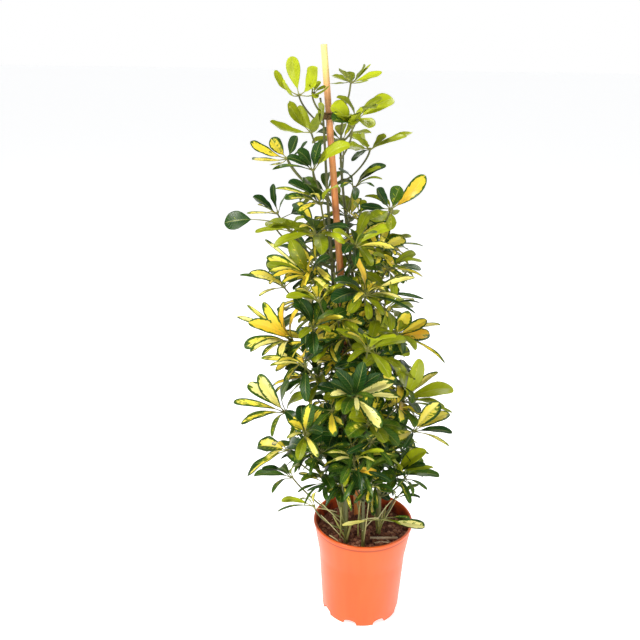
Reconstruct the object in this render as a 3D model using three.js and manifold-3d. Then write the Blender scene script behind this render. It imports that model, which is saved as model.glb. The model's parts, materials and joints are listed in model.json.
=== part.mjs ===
// Potted umbrella plant: five leafy stems tied to a stake, in soil, in a plastic nursery pot.
// Millimetres, +Z up. The origin is the middle of the pot's underside.
import * as THREE from "three";
import { mergeVertices } from "three/addons/utils/BufferGeometryUtils.js";
import Module from "manifold-3d";

const wasm = await Module();
wasm.setup();

// ---------- driving dimensions ----------

const pot = {
  rimRadius: 107.5,
  height: 221,
  neckRadius: 104.5, // where the wall ends, under the bead
  neckHeight: 205,
  waistRadius: 94, // the wall leans out more above this
  waistHeight: 140,
  footRadius: 85,
  wall: 2.4,
  bead: 8, // the height of the bead round the rim
  beadEdge: 1.5,
  lip: 5,
  floor: 4,
  ledgeRadius: 60, // outside this the floor is raised over the arches
  ledgeHeight: 15,
  ledgeSlope: 3,
  arches: 8,
  archWidth: 29,
  archHeight: 12,
  archInset: 4,
  drainRadius: 4,
  drainInset: 10,
  drainDepth: 12,
  turn: 4.6, // degrees that the front foot stands to the right
  sides: 24,
  archSides: 3,
};
const soil = {
  top: 192,
  edgeDrop: 2, // the soil sinks at the wall
  mound: 5,
  slope: [0.8, 0.55, 0.28], // shares of the radius where it is level, half way up, and at the top
  lumps: 2.4,
  sides: 24,
  gap: 0.4,
  holeSides: 8,
};
const stake = { radius: 8.4, tipRadius: 6.2, sides: 8, foot: 40 };
const tie = {
  heights: { tie_lower: 620, tie_upper: 1078 },
  band: 9,
  thick: 1.6,
  gap: 0.8,
  knot: 4,
  endLength: 15,
  endSpread: 9,
  endForward: 4,
  endRadius: 1.6,
  steps: 3,
};
// It lies on the soil, bowed a little.
const dryStalk = {
  radius: 3.4,
  tipRadius: 2.7,
  from: [14, -42],
  to: [74, -40],
  lift: 5,
  bow: [0, -2, 1],
  sides: 6,
};

const trunkSides = 6;
const leafstalk = {
  foot: 2.6, // its radius at the stem
  top: 2,
  sides: 3,
  steps: 3,
  drop: 25, // it leaves the stem this far below its leaf, and lower by a share of its reach
  dropShare: 0.7,
  swing: 0.3, // how far it swings out and up, as shares of its length
  climb: 0.12,
  lowest: soil.top + 25,
  belowTip: 4,
};
const hub = { radius: 4.2, half: 1.2, top: 2, under: 3 };
const leaflet = {
  stalk: 0.25, // the share of its length that has no blade
  bow: 0.1, // how far it arches up, as a share of its length
  fold: 0.16, // how far its edges stand above the midrib, as a share of its half width
  spread: 0.5, // the least turn between two, as a share of an even one
  rounds: 30, // how often they are set apart
  firstTurn: 0.4, // of the first on a leaf that doesn't show, in radians
  steepest: 0.9, // the sine of the most that one rises above the leaf's plane
  later: 0.92, // the length of those that don't show in the photograph
  // how far along the blade, how wide (in mm where it starts, or as a share of its width) and how thick
  sections: [
    { along: 0, wide: 2.6, thick: 2.2 },
    { along: 0.5, share: 0.9, thick: 1.7 },
    { along: 0.83, share: 0.82, thick: 1.5 },
  ],
  // on a leaf that doesn't show in the photograph
  plainSections: [
    { along: 0, wide: 2.6, thick: 2.2 },
    { along: 0.6, share: 1, thick: 1.7 },
  ],
};
const finest = 0.15; // shorter edges than this are dropped where leaves meet a stem

// Where the photograph was taken from. Leaves are placed by its pixels, at a depth y from the pot's axis.
const camera = { x: -100, y: -1486, z: 1244, pitch: 20.7, roll: 0.8, focal: 800, middle: 320 };

// The stake's middle line, from inside the soil to the tip.
const stakeLine = [
  [-10, 50, stake.foot],
  [-10, 50, 205],
  [-22, 42, 330],
  [-36, 34, 455],
  [-48, 25, 580],
  [-56, 17, 720],
  [-68, 9, 850],
  [-79, 4, 970],
  [-89, 1, 1080],
  [-100, 0, 1200],
];

// Each stem holds its middle line, from inside the soil to the tip, and one entry for each leaf: the pixel
// and depth of its hub, faces the way that the leaf looks, count all its leaflets, length and width a
// leaflet's size, rise their angle above the leaf's plane, bow and stalk where they differ from a usual
// leaflet's, and for each leaflet tip that shows its pixel, then -1 where it points towards the viewer, 0
// where it lies level with the hub or 1 where it points away, and its width as a share of the leaf's.
const stems = [
  {
    name: "leafy_stem_left",
    radius: 8,
    tip: 2.8,
    line: [
      [-44, 0, 110],
      [-44, 0, 205],
      [-52, 4, 350],
      [-60, 10, 480],
      [-66, 10, 600],
      [-72, 5, 720],
      [-83, -2, 850],
      [-92, -6, 970],
      [-99, -7, 1070],
      [-105, -8, 1110],
    ],
    leaves: [
      { hub: [299, 95], y: -20, faces: [-1, -6, 7], count: 4, length: 72, width: 24, rise: 40, bow: -0.15,
        tips: [[275, 71, -1, 0.75], [292, 57, -1, 1], [317, 67, -1, 1.3], [284, 80, -1, 0.55]] },
      { hub: [313, 93], y: -12, faces: [2, -6, 7], count: 4, length: 30, width: 9, rise: 40,
        tips: [[326, 86], [318, 82], [309, 86], [316, 98, -1, 1.3]] },
      { hub: [311, 132], y: -40, faces: [-2, -6, 7], count: 5, length: 80, width: 26, rise: 20, bow: -0.13,
        tips: [[271, 115, -1, 0.7], [291, 104, -1, 0.8], [312, 107, -1, 1.25], [322, 109, -1, 1.1],
          [299, 105, 1, 0.6]] },
      { hub: [287, 158], y: -10, faces: [-3, -5, 7], count: 4, length: 76, width: 24, rise: 10, bow: -0.08,
        tips: [[250, 145, -1, 0.55], [273, 139, -1, 1], [296, 137, -1, 1], [306, 141, -1, 0.55]] },
      { hub: [313, 170], y: -60, faces: [0, -5, 8], count: 4, length: 88, width: 24, rise: 12,
        tips: [[287, 157, -1, 0.65], [301, 151, -1, 1.2], [320, 142, -1, 0.85], [350, 144, -1, 1.1]] },
      { hub: [321, 204], y: -80, faces: [-1, -4, 8], count: 6, length: 80, width: 26, rise: 8,
        tips: [[288, 183, -1, 1.1], [312, 175, -1, 1.35], [291, 203, -1, 0.8], [295, 212, -1, 0.65],
          [337, 187, -1, 0.9]] },
      { hub: [277, 213], y: 10, faces: [-3, -5, 7], count: 4, length: 66, width: 22, rise: 24, bow: 0.03,
        tips: [[273, 184, -1, 0.7], [262, 194, -1, 1], [287, 194, -1, 0.55], [259, 202, -1, 0.6]] },
      { hub: [291, 231], y: -35, faces: [-4, -4, 8], count: 4, length: 72, width: 22, rise: 0,
        tips: [[255, 232, 0, 0.55], [268, 226, -1, 0.9], [300, 222, -1, 0.8], [283, 222, -1, 0.7]] },
      { hub: [275, 222], y: -22, faces: [-1, -7, 5], count: 3, length: 97, width: 31, rise: 0, stalk: 0.45,
        tips: [[224, 223, 0, 1.15], [312, 228, 0, 0.8], [306, 216, 1, 0.7]] },
      { hub: [316, 234], y: -62, faces: [0, -5, 8], count: 6, length: 92, width: 26, rise: 5,
        tips: [[267, 225, 0], [345, 230, -1, 0.6], [349, 240, -1, 0.7], [312, 216], [321, 254, -1, 1.1]] },
      { hub: [311, 278], y: -50, faces: [-3, -5, 7], count: 7, length: 90, width: 24, rise: 6,
        tips: [[301, 252, -1, 0.8], [292, 243, -1, 1.1], [268, 253, -1, 1], [267, 262, -1, 0.8],
          [268, 270, -1, 0.8], [273, 276, -1, 0.75], [329, 257, -1, 0.6]] },
      { hub: [284, 287], y: -4, faces: [-4, -3, 8], count: 4, length: 86, width: 25, rise: 4,
        tips: [[249, 275], [296, 279], [270, 283, -1, 0.6]] },
    ],
  },
  {
    name: "leafy_stem_back",
    radius: 7,
    tip: 2.8,
    line: [
      [18, 66, 110],
      [18, 66, 205],
      [8, 60, 330],
      [-12, 52, 470],
      [-24, 42, 610],
      [-36, 34, 760],
      [-55, 27, 900],
      [-66, 22, 1010],
      [-62, 15, 1100],
    ],
    leaves: [
      { hub: [311, 263], y: 116, faces: [-3, 2, 9], count: 6, length: 90, width: 30, rise: 14,
        tips: [[277, 246, 1, 0.9], [291, 239, 1, 1.1], [326, 248]] },
      { hub: [351, 82], y: 26, faces: [1, -5, 8], count: 5, length: 56, width: 15, rise: 22, bow: -0.05,
        tips: [[331, 75, 1, 0.8], [343, 70, -1, 1.3], [350, 71, -1, 0.8], [360, 62, -1, 0.9],
          [383, 74, 0, 0.8]] },
      { hub: [357, 119], y: 12, faces: [2, -6, 7], count: 6, length: 76, width: 26, rise: 14,
        tips: [[394, 99, -1, 1.4], [368, 97, -1, 1.1], [337, 97, -1, 0.7], [371, 127, -1, 1.1],
          [361, 129, -1, 0.8], [382, 98, -1, 0.8]] },
      { hub: [352, 126], y: -40, faces: [-1, -5, 7], count: 4, length: 56, width: 26, rise: 8,
        tips: [[331, 106, -1, 1.2], [333, 121, -1, 1.1], [349, 110, -1, 1.4], [362, 112, -1, 0.9]] },
      { hub: [370, 149], y: 8, faces: [1, -5, 8], count: 5, length: 84, width: 20, rise: 8, bow: 0.05,
        tips: [[360, 137, -1, 1.4], [384, 136, -1, 1.2], [407, 131, -1, 0.6], [416, 138, 0, 0.8],
          [346, 147, -1, 0.6]] },
      { hub: [354, 187], y: -26, faces: [2, -4, 8], count: 6, length: 76, width: 18, rise: 8,
        tips: [[381, 166, -1, 0.8], [387, 170, -1, 1.1], [383, 178, -1, 0.6], [344, 173, -1, 0.8],
          [337, 184, -1, 0.6], [350, 198, -1, 0.7]] },
      // behind, out of the photograph's sight
      { hub: [342, 140], y: 80, faces: [-2, 4, 8], count: 5, length: 70, width: 24, rise: 8 },
      { hub: [326, 192], y: 92, faces: [-4, 5, 7], count: 5, length: 62, width: 24, rise: 6 },
      { hub: [350, 218], y: 104, faces: [2, 5, 7], count: 7, length: 84, width: 26, rise: 8 },
      { hub: [338, 240], y: 116, faces: [0, 6, 7], count: 7, length: 92, width: 28, rise: 4 },
      { hub: [378, 266], y: 100, faces: [4, 5, 7], count: 6, length: 84, width: 26, rise: 4 },
      { hub: [312, 312], y: 108, faces: [-4, 5, 7], count: 6, length: 92, width: 28, rise: 4 },
      { hub: [352, 322], y: 128, faces: [1, 6, 7], count: 7, length: 98, width: 28, rise: 4 },
      { hub: [388, 366], y: 100, faces: [4, 5, 7], count: 6, length: 86, width: 26, rise: 4 },
      { hub: [334, 392], y: 112, faces: [-2, 6, 7], count: 6, length: 84, width: 28, rise: 4 },
      { hub: [366, 424], y: 108, faces: [2, 6, 7], count: 7, length: 94, width: 28, rise: 2 },
      { hub: [334, 458], y: 98, faces: [-3, 5, 7], count: 7, length: 90, width: 28, rise: 0 },
      { hub: [374, 476], y: 92, faces: [3, 5, 7], count: 6, length: 84, width: 26, rise: 0 },
    ],
  },
  {
    name: "leafy_stem_front_left",
    radius: 6,
    tip: 3.4,
    line: [
      [-38, -50, 110],
      [-38, -50, 205],
      [-42, -44, 340],
      [-50, -36, 480],
      [-58, -30, 610],
      [-66, -26, 720],
      [-74, -24, 790],
    ],
    leaves: [
      { hub: [319, 301], y: -106, faces: [-2, -3, 8], count: 6, length: 66, width: 17, rise: 8,
        tips: [[286, 298], [297, 290], [314, 286, -1, 0.8], [303, 282, -1, 0.6], [330, 284, -1, 0.6]] },
      { hub: [292, 341], y: -55, faces: [-4, -5, 6], count: 6, length: 104, width: 27, rise: 6,
        tips: [[285, 302, -1, 0.95], [258, 319, -1, 1], [263, 306, -1, 0.75], [244, 338, 0, 0.85],
          [250, 351, -1, 0.75], [281, 357, -1, 0.7]] },
      { hub: [313, 328], y: -104, faces: [1, -5, 8], count: 7, length: 76, width: 25, rise: 10,
        tips: [[293, 305, -1, 0.9], [307, 302], [343, 319, -1, 0.55], [322, 305, -1, 0.95],
          [300, 338, -1, 0.6], [330, 332, -1, 0.6]] },
      { hub: [305, 366], y: -116, faces: [-3, -5, 7], count: 5, length: 86, width: 24, rise: 4,
        tips: [[296, 347, -1, 0.9], [306, 349, -1, 0.6], [283, 352, -1, 0.55], [320, 352, -1, 0.9]] },
      { hub: [319, 379], y: -40, faces: [-3, -2, 9], count: 5, length: 92, width: 27, rise: 6,
        tips: [[283, 372, 0], [322, 350, -1, 0.8], [304, 372, -1, 0.8], [302, 393, -1, 0.8],
          [301, 380, -1, 0.7]] },
      { hub: [285, 412], y: -50, faces: [-3, -5, 7], count: 7, length: 102, width: 27, rise: 6,
        tips: [[245, 390, -1, 1], [264, 385, -1, 1], [233, 401, 0, 0.6], [240, 422, -1, 0.6],
          [284, 384, -1, 0.8], [300, 431, -1, 0.7], [310, 390, -1, 0.8]] },
      { hub: [288, 450], y: -88, faces: [-3, -4, 8], count: 6, length: 84, width: 30, rise: 2,
        tips: [[257, 446, 0], [247, 476, -1, 0.7], [273, 432, -1, 0.6], [298, 446, -1, 0.9],
          [300, 462, -1, 0.6]] },
      { hub: [305, 434], y: -126, faces: [0, -5, 7], count: 6, length: 70, width: 24, rise: 8,
        tips: [[318, 457, -1, 0.6], [310, 407, -1, 1.1], [290, 421, -1, 0.8], [322, 409, -1, 0.6],
          [322, 432, -1, 0.8]] },
      { hub: [292, 477], y: -50, faces: [-4, -3, 8], count: 6, length: 82, width: 22, rise: 0,
        tips: [[253, 482], [262, 469, -1, 0.8], [280, 464, -1, 0.8], [298, 466, -1, 0.6]] },
      { hub: [314, 506], y: -78, faces: [-2, -2, 9], count: 4, length: 76, width: 16, rise: 0,
        tips: [[281, 500, 0, 0.8], [277, 511, 0, 0.3], [318, 491, -1, 0.5], [300, 499, -1, 0.4]] },
      { hub: [322, 474], y: -84, faces: [0, -5, 8], count: 5, length: 62, width: 24, rise: 4,
        tips: [[330, 489], [305, 463, -1, 0.9], [336, 468], [321, 467], [300, 479, -1, 0.6]] },
      { hub: [337, 432], y: -60, faces: [-1, -5, 8], count: 5, length: 72, width: 30, rise: 4,
        tips: [[312, 440, -1, 0.9], [345, 462], [322, 418, -1, 0.9], [330, 408, -1, 0.7], [328, 447]] },
      { hub: [336, 452], y: -44, faces: [0, -4, 8], count: 5, length: 72, width: 28, rise: 4,
        tips: [[328, 436, -1, 1.1], [352, 440], [316, 450, -1, 0.9], [345, 472, -1, 1.1], [330, 466]] },
      { hub: [342, 487], y: -40, faces: [0, -4, 8], count: 5, length: 60, width: 26, rise: 0,
        tips: [[330, 473], [352, 474, -1, 0.9], [329, 493], [351, 496, -1, 0.8], [341, 502, -1, 0.8]] },
    ],
  },
  {
    name: "leafy_stem_front",
    radius: 4.6,
    tip: 3,
    line: [
      [-2, -64, 110],
      [-2, -64, 205],
      [-6, -56, 330],
      [-14, -46, 460],
      [-20, -38, 580],
      [-24, -34, 680],
    ],
    leaves: [
      { hub: [368, 350], y: -130, faces: [1, -4, 8], count: 6, length: 86, width: 24, rise: 8,
        tips: [[337, 332, -1, 0.8], [376, 322, -1, 0.9], [358, 329, -1, 0.8], [396, 337, -1, 0.8],
          [366, 336, -1, 1.3]] },
      { hub: [354, 397], y: -128, faces: [0, -7, 7], count: 9, length: 90, width: 24, rise: 4,
        tips: [[341, 372, -1, 0.9], [362, 366], [381, 376, -1, 0.9], [393, 381, -1, 1.1],
          [385, 424, -1, 1], [331, 395, -1, 0.7], [317, 387, 0, 0.8], [330, 381, -1, 0.8],
          [344, 414, -1, 0.9]] },
      { hub: [368, 424], y: -106, faces: [2, -4, 8], count: 6, length: 80, width: 30, rise: 4,
        tips: [[350, 438, -1, 1.1], [384, 442, -1, 0.9], [372, 408], [352, 421, -1, 0.9]] },
      { hub: [354, 460], y: -122, faces: [0, -4, 9], count: 6, length: 88, width: 15, rise: 4,
        tips: [[328, 453, -1, 0.6], [331, 460, -1, 0.8], [384, 449, -1, 0.8], [341, 483, -1, 1.1]] },
      { hub: [350, 469], y: -118, faces: [0, -4, 8], count: 4, length: 62, width: 24, rise: 0,
        tips: [[372, 485, -1, 0.9], [364, 489, -1, 1.1], [349, 487, -1, 0.4], [335, 478, -1, 0.8]] },
      { hub: [370, 487], y: -118, faces: [1, -4, 8], count: 5, length: 54, width: 20, rise: 0,
        tips: [[368, 503, -1, 0.9], [391, 493, -1, 0.9], [379, 477], [353, 489, -1, 0.8]] },
    ],
  },
  {
    name: "leafy_stem_right",
    radius: 6,
    tip: 3.4,
    line: [
      [33, -18, 110],
      [33, -18, 205],
      [30, -12, 340],
      [20, -6, 480],
      [10, 0, 620],
      [2, 4, 740],
      [-4, 6, 850],
    ],
    leaves: [
      { hub: [391, 209], y: -30, faces: [3, -4, 8], count: 5, length: 84, width: 26, rise: 8, bow: -0.04,
        tips: [[376, 192, -1, 0.85], [398, 188, -1, 1.15], [425, 175, 0, 1.1], [373, 218, -1, 1.2],
          [391, 227, -1, 0.7]] },
      { hub: [360, 213], y: -12, faces: [0, -4, 8], count: 3, length: 30, width: 17, rise: 16,
        tips: [[353, 203], [366, 201], [361, 221, -1, 0.4]] },
      { hub: [355, 247], y: -84, faces: [1, -5, 8], count: 7, length: 88, width: 22, rise: 10,
        tips: [[333, 232, -1, 0.85], [392, 226, 0, 0.9], [376, 232, -1, 0.9], [345, 252, -1, 0.9],
          [352, 228, -1, 0.8], [347, 263, -1, 0.6]] },
      { hub: [379, 250], y: 0, faces: [4, -3, 8], count: 7, length: 86, width: 25, rise: 4,
        tips: [[401, 232, -1, 0.9], [411, 237, -1, 0.9], [397, 256, -1, 0.7], [385, 237, -1, 0.9],
          [384, 260, -1, 1.2]] },
      { hub: [388, 269], y: -58, faces: [4, -5, 7], count: 5, length: 82, width: 20, rise: 4,
        tips: [[421, 262, -1, 0.8], [421, 270, -1, 0.95], [374, 254, -1, 0.7]] },
      { hub: [366, 295], y: -94, faces: [1, -5, 8], count: 4, length: 98, width: 24, rise: 6,
        tips: [[356, 255, -1, 0.85], [374, 269, -1, 0.85], [330, 299, -1, 1.3], [336, 283, -1, 1.1]] },
      { hub: [385, 309], y: -30, faces: [4, -3, 8], count: 5, length: 84, width: 24, rise: 0,
        tips: [[412, 299, -1, 0.7], [385, 292, -1, 1.2], [378, 336, 0, 0.75], [391, 331, -1, 0.6]] },
      { hub: [396, 336], y: -5, faces: [4, -3, 7], count: 4, length: 104, width: 28, rise: 4,
        tips: [[408, 312], [426, 322, -1, 0.9], [428, 335, -1, 1.05]] },
      { hub: [402, 402], y: -10, faces: [3, -4, 8], count: 6, length: 102, width: 32, rise: 4,
        tips: [[394, 364, -1, 1.1], [421, 361, -1, 0.95], [452, 383, 0, 0.9], [417, 413, -1, 0.6],
          [404, 418, -1, 0.7], [387, 394, -1, 0.7]] },
      { hub: [414, 431], y: -68, faces: [3, -4, 8], count: 5, length: 82, width: 24, rise: 4,
        tips: [[440, 412, -1, 0.9], [452, 417, -1, 0.8], [452, 426, 0, 0.7], [385, 439, -1, 1.15],
          [410, 412, -1, 0.6]] },
      { hub: [396, 475], y: -60, faces: [2, -4, 8], count: 8, length: 92, width: 28, rise: 6,
        tips: [[392, 456, -1, 1.2], [425, 452], [424, 461, -1, 0.55], [440, 480, 0, 0.75],
          [372, 465, -1, 0.8], [381, 480, -1, 0.9], [386, 491, -1, 0.6]] },
      { hub: [396, 497], y: 10, faces: [4, -3, 8], count: 4, length: 58, width: 14, rise: 6,
        tips: [[420, 487, -1, 0.7], [421, 495, -1, 0.9], [410, 489, -1, 0.4], [387, 491, -1, 0.8]] },
      { hub: [381, 519], y: -84, faces: [0, -3, 8], count: 4, length: 88, width: 15, rise: 0,
        tips: [[342, 525, 0, 0.75], [425, 525, 0, 1.15], [409, 519, -1, 0.5], [372, 521, -1, 0.3]] },
      { hub: [386, 452], y: -20, faces: [2, -3, 8], count: 6, length: 88, width: 28, rise: 4,
        tips: [[372, 439], [408, 447, -1, 0.6], [398, 464, -1, 0.8], [368, 458, -1, 0.8]] },
      { hub: [374, 494], y: 22, faces: [0, -3, 8], count: 4, length: 62, width: 24, rise: 0,
        tips: [[360, 481], [389, 500, -1, 0.8], [357, 500, -1, 0.7]] },
    ],
  },
];

// ---------- small helpers ----------

const radians = THREE.MathUtils.degToRad;
const vec = (x, y, z) => new THREE.Vector3(x, y, z);
const along = (from, direction, distance) => from.clone().addScaledVector(direction, distance);

// A repeatable run of numbers from 0 to 1.
function seeded(seed) {
  let state = seed;
  return () => {
    state = (state * 16807) % 2147483647;
    return state / 2147483647;
  };
}

function toSolid(geometry) {
  const bare = new THREE.BufferGeometry();
  bare.setAttribute("position", geometry.attributes.position.clone());
  bare.setIndex(geometry.index ? geometry.index.clone() : null);
  const merged = mergeVertices(bare, 1e-4);
  const mesh = new wasm.Mesh({
    numProp: 3,
    vertProperties: Float32Array.from(merged.attributes.position.array),
    triVerts: Uint32Array.from(merged.index.array),
  });
  return new wasm.Manifold(mesh);
}

function toGeometry(solid) {
  const { numProp, vertProperties, triVerts } = solid.getMesh();
  const places = new Float32Array((vertProperties.length / numProp) * 3);
  for (let i = 0; i < places.length / 3; i += 1) {
    places.set(vertProperties.subarray(i * numProp, i * numProp + 3), i * 3);
  }
  const geometry = new THREE.BufferGeometry();
  geometry.setAttribute("position", new THREE.BufferAttribute(places, 3));
  geometry.setIndex([...triVerts]);
  return geometry;
}

function fromTriangles(points, faces) {
  const geometry = new THREE.BufferGeometry();
  const places = points.flatMap((p) => [p.x, p.y, p.z]);
  geometry.setAttribute("position", new THREE.Float32BufferAttribute(places, 3));
  geometry.setIndex(faces.flat());
  return geometry;
}

const joined = (solids) => wasm.Manifold.union(solids);

function named(name, geometry, colour, roughness) {
  const flat = geometry.index ? geometry.toNonIndexed() : geometry;
  flat.deleteAttribute("normal");
  flat.computeVertexNormals();
  const material = new THREE.MeshStandardMaterial({ color: colour, roughness, metalness: 0 });
  const mesh = new THREE.Mesh(flat, material);
  mesh.name = name;
  return mesh;
}

function lathe(profile, sides) {
  const outline = profile.map(([r, z]) => new THREE.Vector2(r, z));
  return new THREE.LatheGeometry(outline, sides).rotateX(Math.PI / 2);
}

// Rings of points along a line, each joined to the one before. The radius runs from the first value to the
// last.
function addRings(points, faces, line, fromRadius, toRadius, sides) {
  const lengths = [0];
  line.slice(1).forEach((p, i) => lengths.push(lengths[i] + p.distanceTo(line[i])));
  const total = lengths[lengths.length - 1];
  const rings = [];
  let across = vec(0.1, 1, 0); // near no line's own direction
  line.forEach((p, i) => {
    const ahead = line[Math.min(i + 1, line.length - 1)];
    const behind = line[Math.max(i - 1, 0)];
    const direction = ahead.clone().sub(behind).normalize();
    across = along(across, direction, -across.dot(direction)).normalize();
    const other = direction.clone().cross(across);
    const radius = THREE.MathUtils.lerp(fromRadius, toRadius, lengths[i] / total);
    const ring = [];
    for (let side = 0; side < sides; side += 1) {
      const turn = (2 * Math.PI * side) / sides;
      const out = across.clone().multiplyScalar(Math.cos(turn)).addScaledVector(other, Math.sin(turn));
      ring.push(points.push(along(p, out, radius)) - 1);
    }
    rings.push(ring);
  });
  rings.slice(1).forEach((ring, i) => {
    ring.forEach((top, side) => {
      const next = (side + 1) % sides;
      faces.push([rings[i][side], rings[i][next], ring[next]], [rings[i][side], ring[next], top]);
    });
  });
  return rings;
}

function addCap(faces, ring) {
  for (let k = 1; k + 1 < ring.length; k += 1) faces.push([ring[0], ring[k], ring[k + 1]]);
}

function rod(line, fromRadius, toRadius, sides) {
  const points = [];
  const faces = [];
  const rings = addRings(points, faces, line, fromRadius, toRadius, sides);
  addCap(faces, rings[0].slice().reverse());
  addCap(faces, rings[rings.length - 1]);
  return fromTriangles(points, faces);
}

// Joins two rings round one axis, each a list of { point, turn }, with faces that look out and down.
function addStitches(faces, upper, lower) {
  const byTurn = (a, b) => a.turn - b.turn;
  const above = upper.slice().sort(byTurn);
  const below = lower.slice().sort(byTurn);
  const at = (ring, i) => ring[i % ring.length].turn + 2 * Math.PI * Math.floor(i / ring.length);
  let i = 0;
  let j = below.filter((end) => end.turn <= above[0].turn).length + below.length - 1;
  for (let left = above.length + below.length; left > 0; left -= 1) {
    const here = above[i % above.length].point;
    const under = below[j % below.length].point;
    if (at(above, i + 1) + 2 * Math.PI < at(below, j + 1)) {
      i += 1;
      faces.push([here, under, above[i % above.length].point]);
    } else {
      j += 1;
      faces.push([here, under, below[j % below.length].point]);
    }
  }
}

// ---------- pot and soil ----------

function innerRadius(height) {
  const { footRadius, waistRadius, waistHeight, neckRadius, neckHeight, wall } = pot;
  const low = THREE.MathUtils.lerp(footRadius, waistRadius, height / waistHeight);
  const share = (height - waistHeight) / (neckHeight - waistHeight);
  const high = THREE.MathUtils.lerp(waistRadius, neckRadius, share);
  return (height < waistHeight ? low : high) - wall;
}

function makePot() {
  const beadFoot = pot.height - pot.bead;
  const profile = [
    [0, 0],
    [pot.footRadius, 0],
    [pot.waistRadius, pot.waistHeight],
    [pot.neckRadius, pot.neckHeight],
    [pot.neckRadius, beadFoot],
    [pot.rimRadius, beadFoot + pot.beadEdge],
    [pot.rimRadius, pot.height - pot.beadEdge],
    [pot.rimRadius - pot.beadEdge, pot.height],
    [pot.rimRadius - pot.lip, pot.height],
    [innerRadius(pot.neckHeight), pot.neckHeight],
    [innerRadius(pot.waistHeight), pot.waistHeight],
    [innerRadius(pot.ledgeHeight), pot.ledgeHeight],
    [pot.ledgeRadius, pot.ledgeHeight],
    [pot.ledgeRadius - pot.ledgeSlope, pot.floor],
    [0, pot.floor],
  ];
  const outline = new THREE.Shape();
  const half = pot.archWidth / 2;
  const shoulder = pot.archHeight / 3;
  outline.moveTo(-half, -1);
  outline.lineTo(half, -1);
  outline.lineTo(half, shoulder);
  outline.absellipse(0, shoulder, half, pot.archHeight - shoulder, 0, Math.PI);
  const depth = pot.rimRadius - pot.ledgeRadius;
  const cuts = [];
  for (let i = 0; i < pot.arches; i += 1) {
    const turn = -Math.PI / 2 + radians(pot.turn) + ((i + 0.5) * 2 * Math.PI) / pot.arches;
    const options = { depth, bevelEnabled: false, curveSegments: pot.archSides };
    const arch = new THREE.ExtrudeGeometry(outline, options).rotateX(Math.PI / 2).rotateZ(Math.PI / 2);
    arch.translate(pot.ledgeRadius + pot.archInset, 0, 0).rotateZ(turn);
    const drain = new THREE.CylinderGeometry(pot.drainRadius, pot.drainRadius, pot.drainDepth, 6);
    drain.rotateX(Math.PI / 2).translate(pot.ledgeRadius + pot.drainInset, 0, pot.ledgeHeight).rotateZ(turn);
    cuts.push(toSolid(arch), toSolid(drain));
  }
  return toGeometry(toSolid(lathe(profile, pot.sides)).subtract(joined(cuts)));
}

// An upright hole for a stem or the stake, open at the top.
function holeAt([x, y, z], radius) {
  const depth = pot.height - z;
  const corner = (radius + soil.gap) / Math.cos(Math.PI / soil.holeSides);
  const hole = new THREE.CylinderGeometry(corner, corner, depth, soil.holeSides);
  return toSolid(hole.rotateX(Math.PI / 2).translate(x, y, z - soil.gap + depth / 2));
}

function makeSoil() {
  const random = seeded(41);
  const { gap, top, mound } = soil;
  const widest = innerRadius(top) - 2 * gap;
  const [level, halfway, crown] = soil.slope.map((share) => share * widest);
  const profile = [
    [0, pot.floor + gap],
    [pot.ledgeRadius - pot.ledgeSlope - gap, pot.floor + gap],
    [pot.ledgeRadius - gap, pot.ledgeHeight + gap],
    [innerRadius(pot.ledgeHeight) - 2 * gap, pot.ledgeHeight + gap],
    [innerRadius(pot.waistHeight) - 2 * gap, pot.waistHeight],
    [widest, top - soil.edgeDrop],
    [level, top],
    [halfway, top + mound * 0.6],
    [crown, top + mound],
    [0, top + mound],
  ];
  const { attributes, index } = lathe(profile, soil.sides);
  const bare = new THREE.BufferGeometry().setAttribute("position", attributes.position).setIndex(index);
  const body = mergeVertices(bare, 1e-3);
  const places = body.attributes.position;
  for (let i = 0; i < places.count; i += 1) {
    const lump = (random() * 2 - 1) * soil.lumps;
    if (places.getZ(i) > top - 1) places.setZ(i, places.getZ(i) + lump);
  }
  const holes = stems.map((stem) => holeAt(stem.line[0], stem.radius));
  holes.push(holeAt(stakeLine[0], stake.radius), toSolid(makeDryStalk(gap)));
  return toGeometry(toSolid(body).subtract(joined(holes)));
}

// ---------- leaves ----------

const sight = (() => {
  const pitch = radians(camera.pitch);
  const roll = radians(camera.roll);
  const ahead = vec(0, Math.cos(pitch), -Math.sin(pitch));
  const level = vec(1, 0, 0);
  const upright = level.clone().cross(ahead);
  return {
    from: vec(camera.x, camera.y, camera.z),
    ahead,
    right: level.clone().multiplyScalar(Math.cos(roll)).addScaledVector(upright, Math.sin(roll)),
    up: upright.clone().multiplyScalar(Math.cos(roll)).addScaledVector(level, -Math.sin(roll)),
  };
})();

function rayTo([px, py]) {
  const ray = along(sight.ahead, sight.right, (px - camera.middle) / camera.focal);
  return ray.addScaledVector(sight.up, (camera.middle - py) / camera.focal);
}

function placeAt(pixel, y) {
  const ray = rayTo(pixel);
  return along(sight.from, ray, (y - sight.from.y) / ray.y);
}

// The tip that shows at a pixel, a leaflet's length from the hub.
function tipAt(middle, [px, py, side = -1], length) {
  const ray = rayTo([px, py]);
  const depth = middle.clone().sub(sight.from).dot(sight.ahead);
  const level = along(sight.from, ray, depth);
  const seen = level.distanceTo(middle);
  const hidden = Math.sqrt(Math.max(length * length - seen * seen, 0));
  return along(level, ray.normalize(), side * hidden);
}

// The turn from each leaflet to the next one round the leaf.
function gapsBetween(parts) {
  parts.sort((a, b) => a.turn - b.turn);
  return parts.map((part, i) => {
    const last = i + 1 === parts.length;
    return last ? parts[0].turn + 2 * Math.PI - part.turn : parts[i + 1].turn - part.turn;
  });
}

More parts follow.
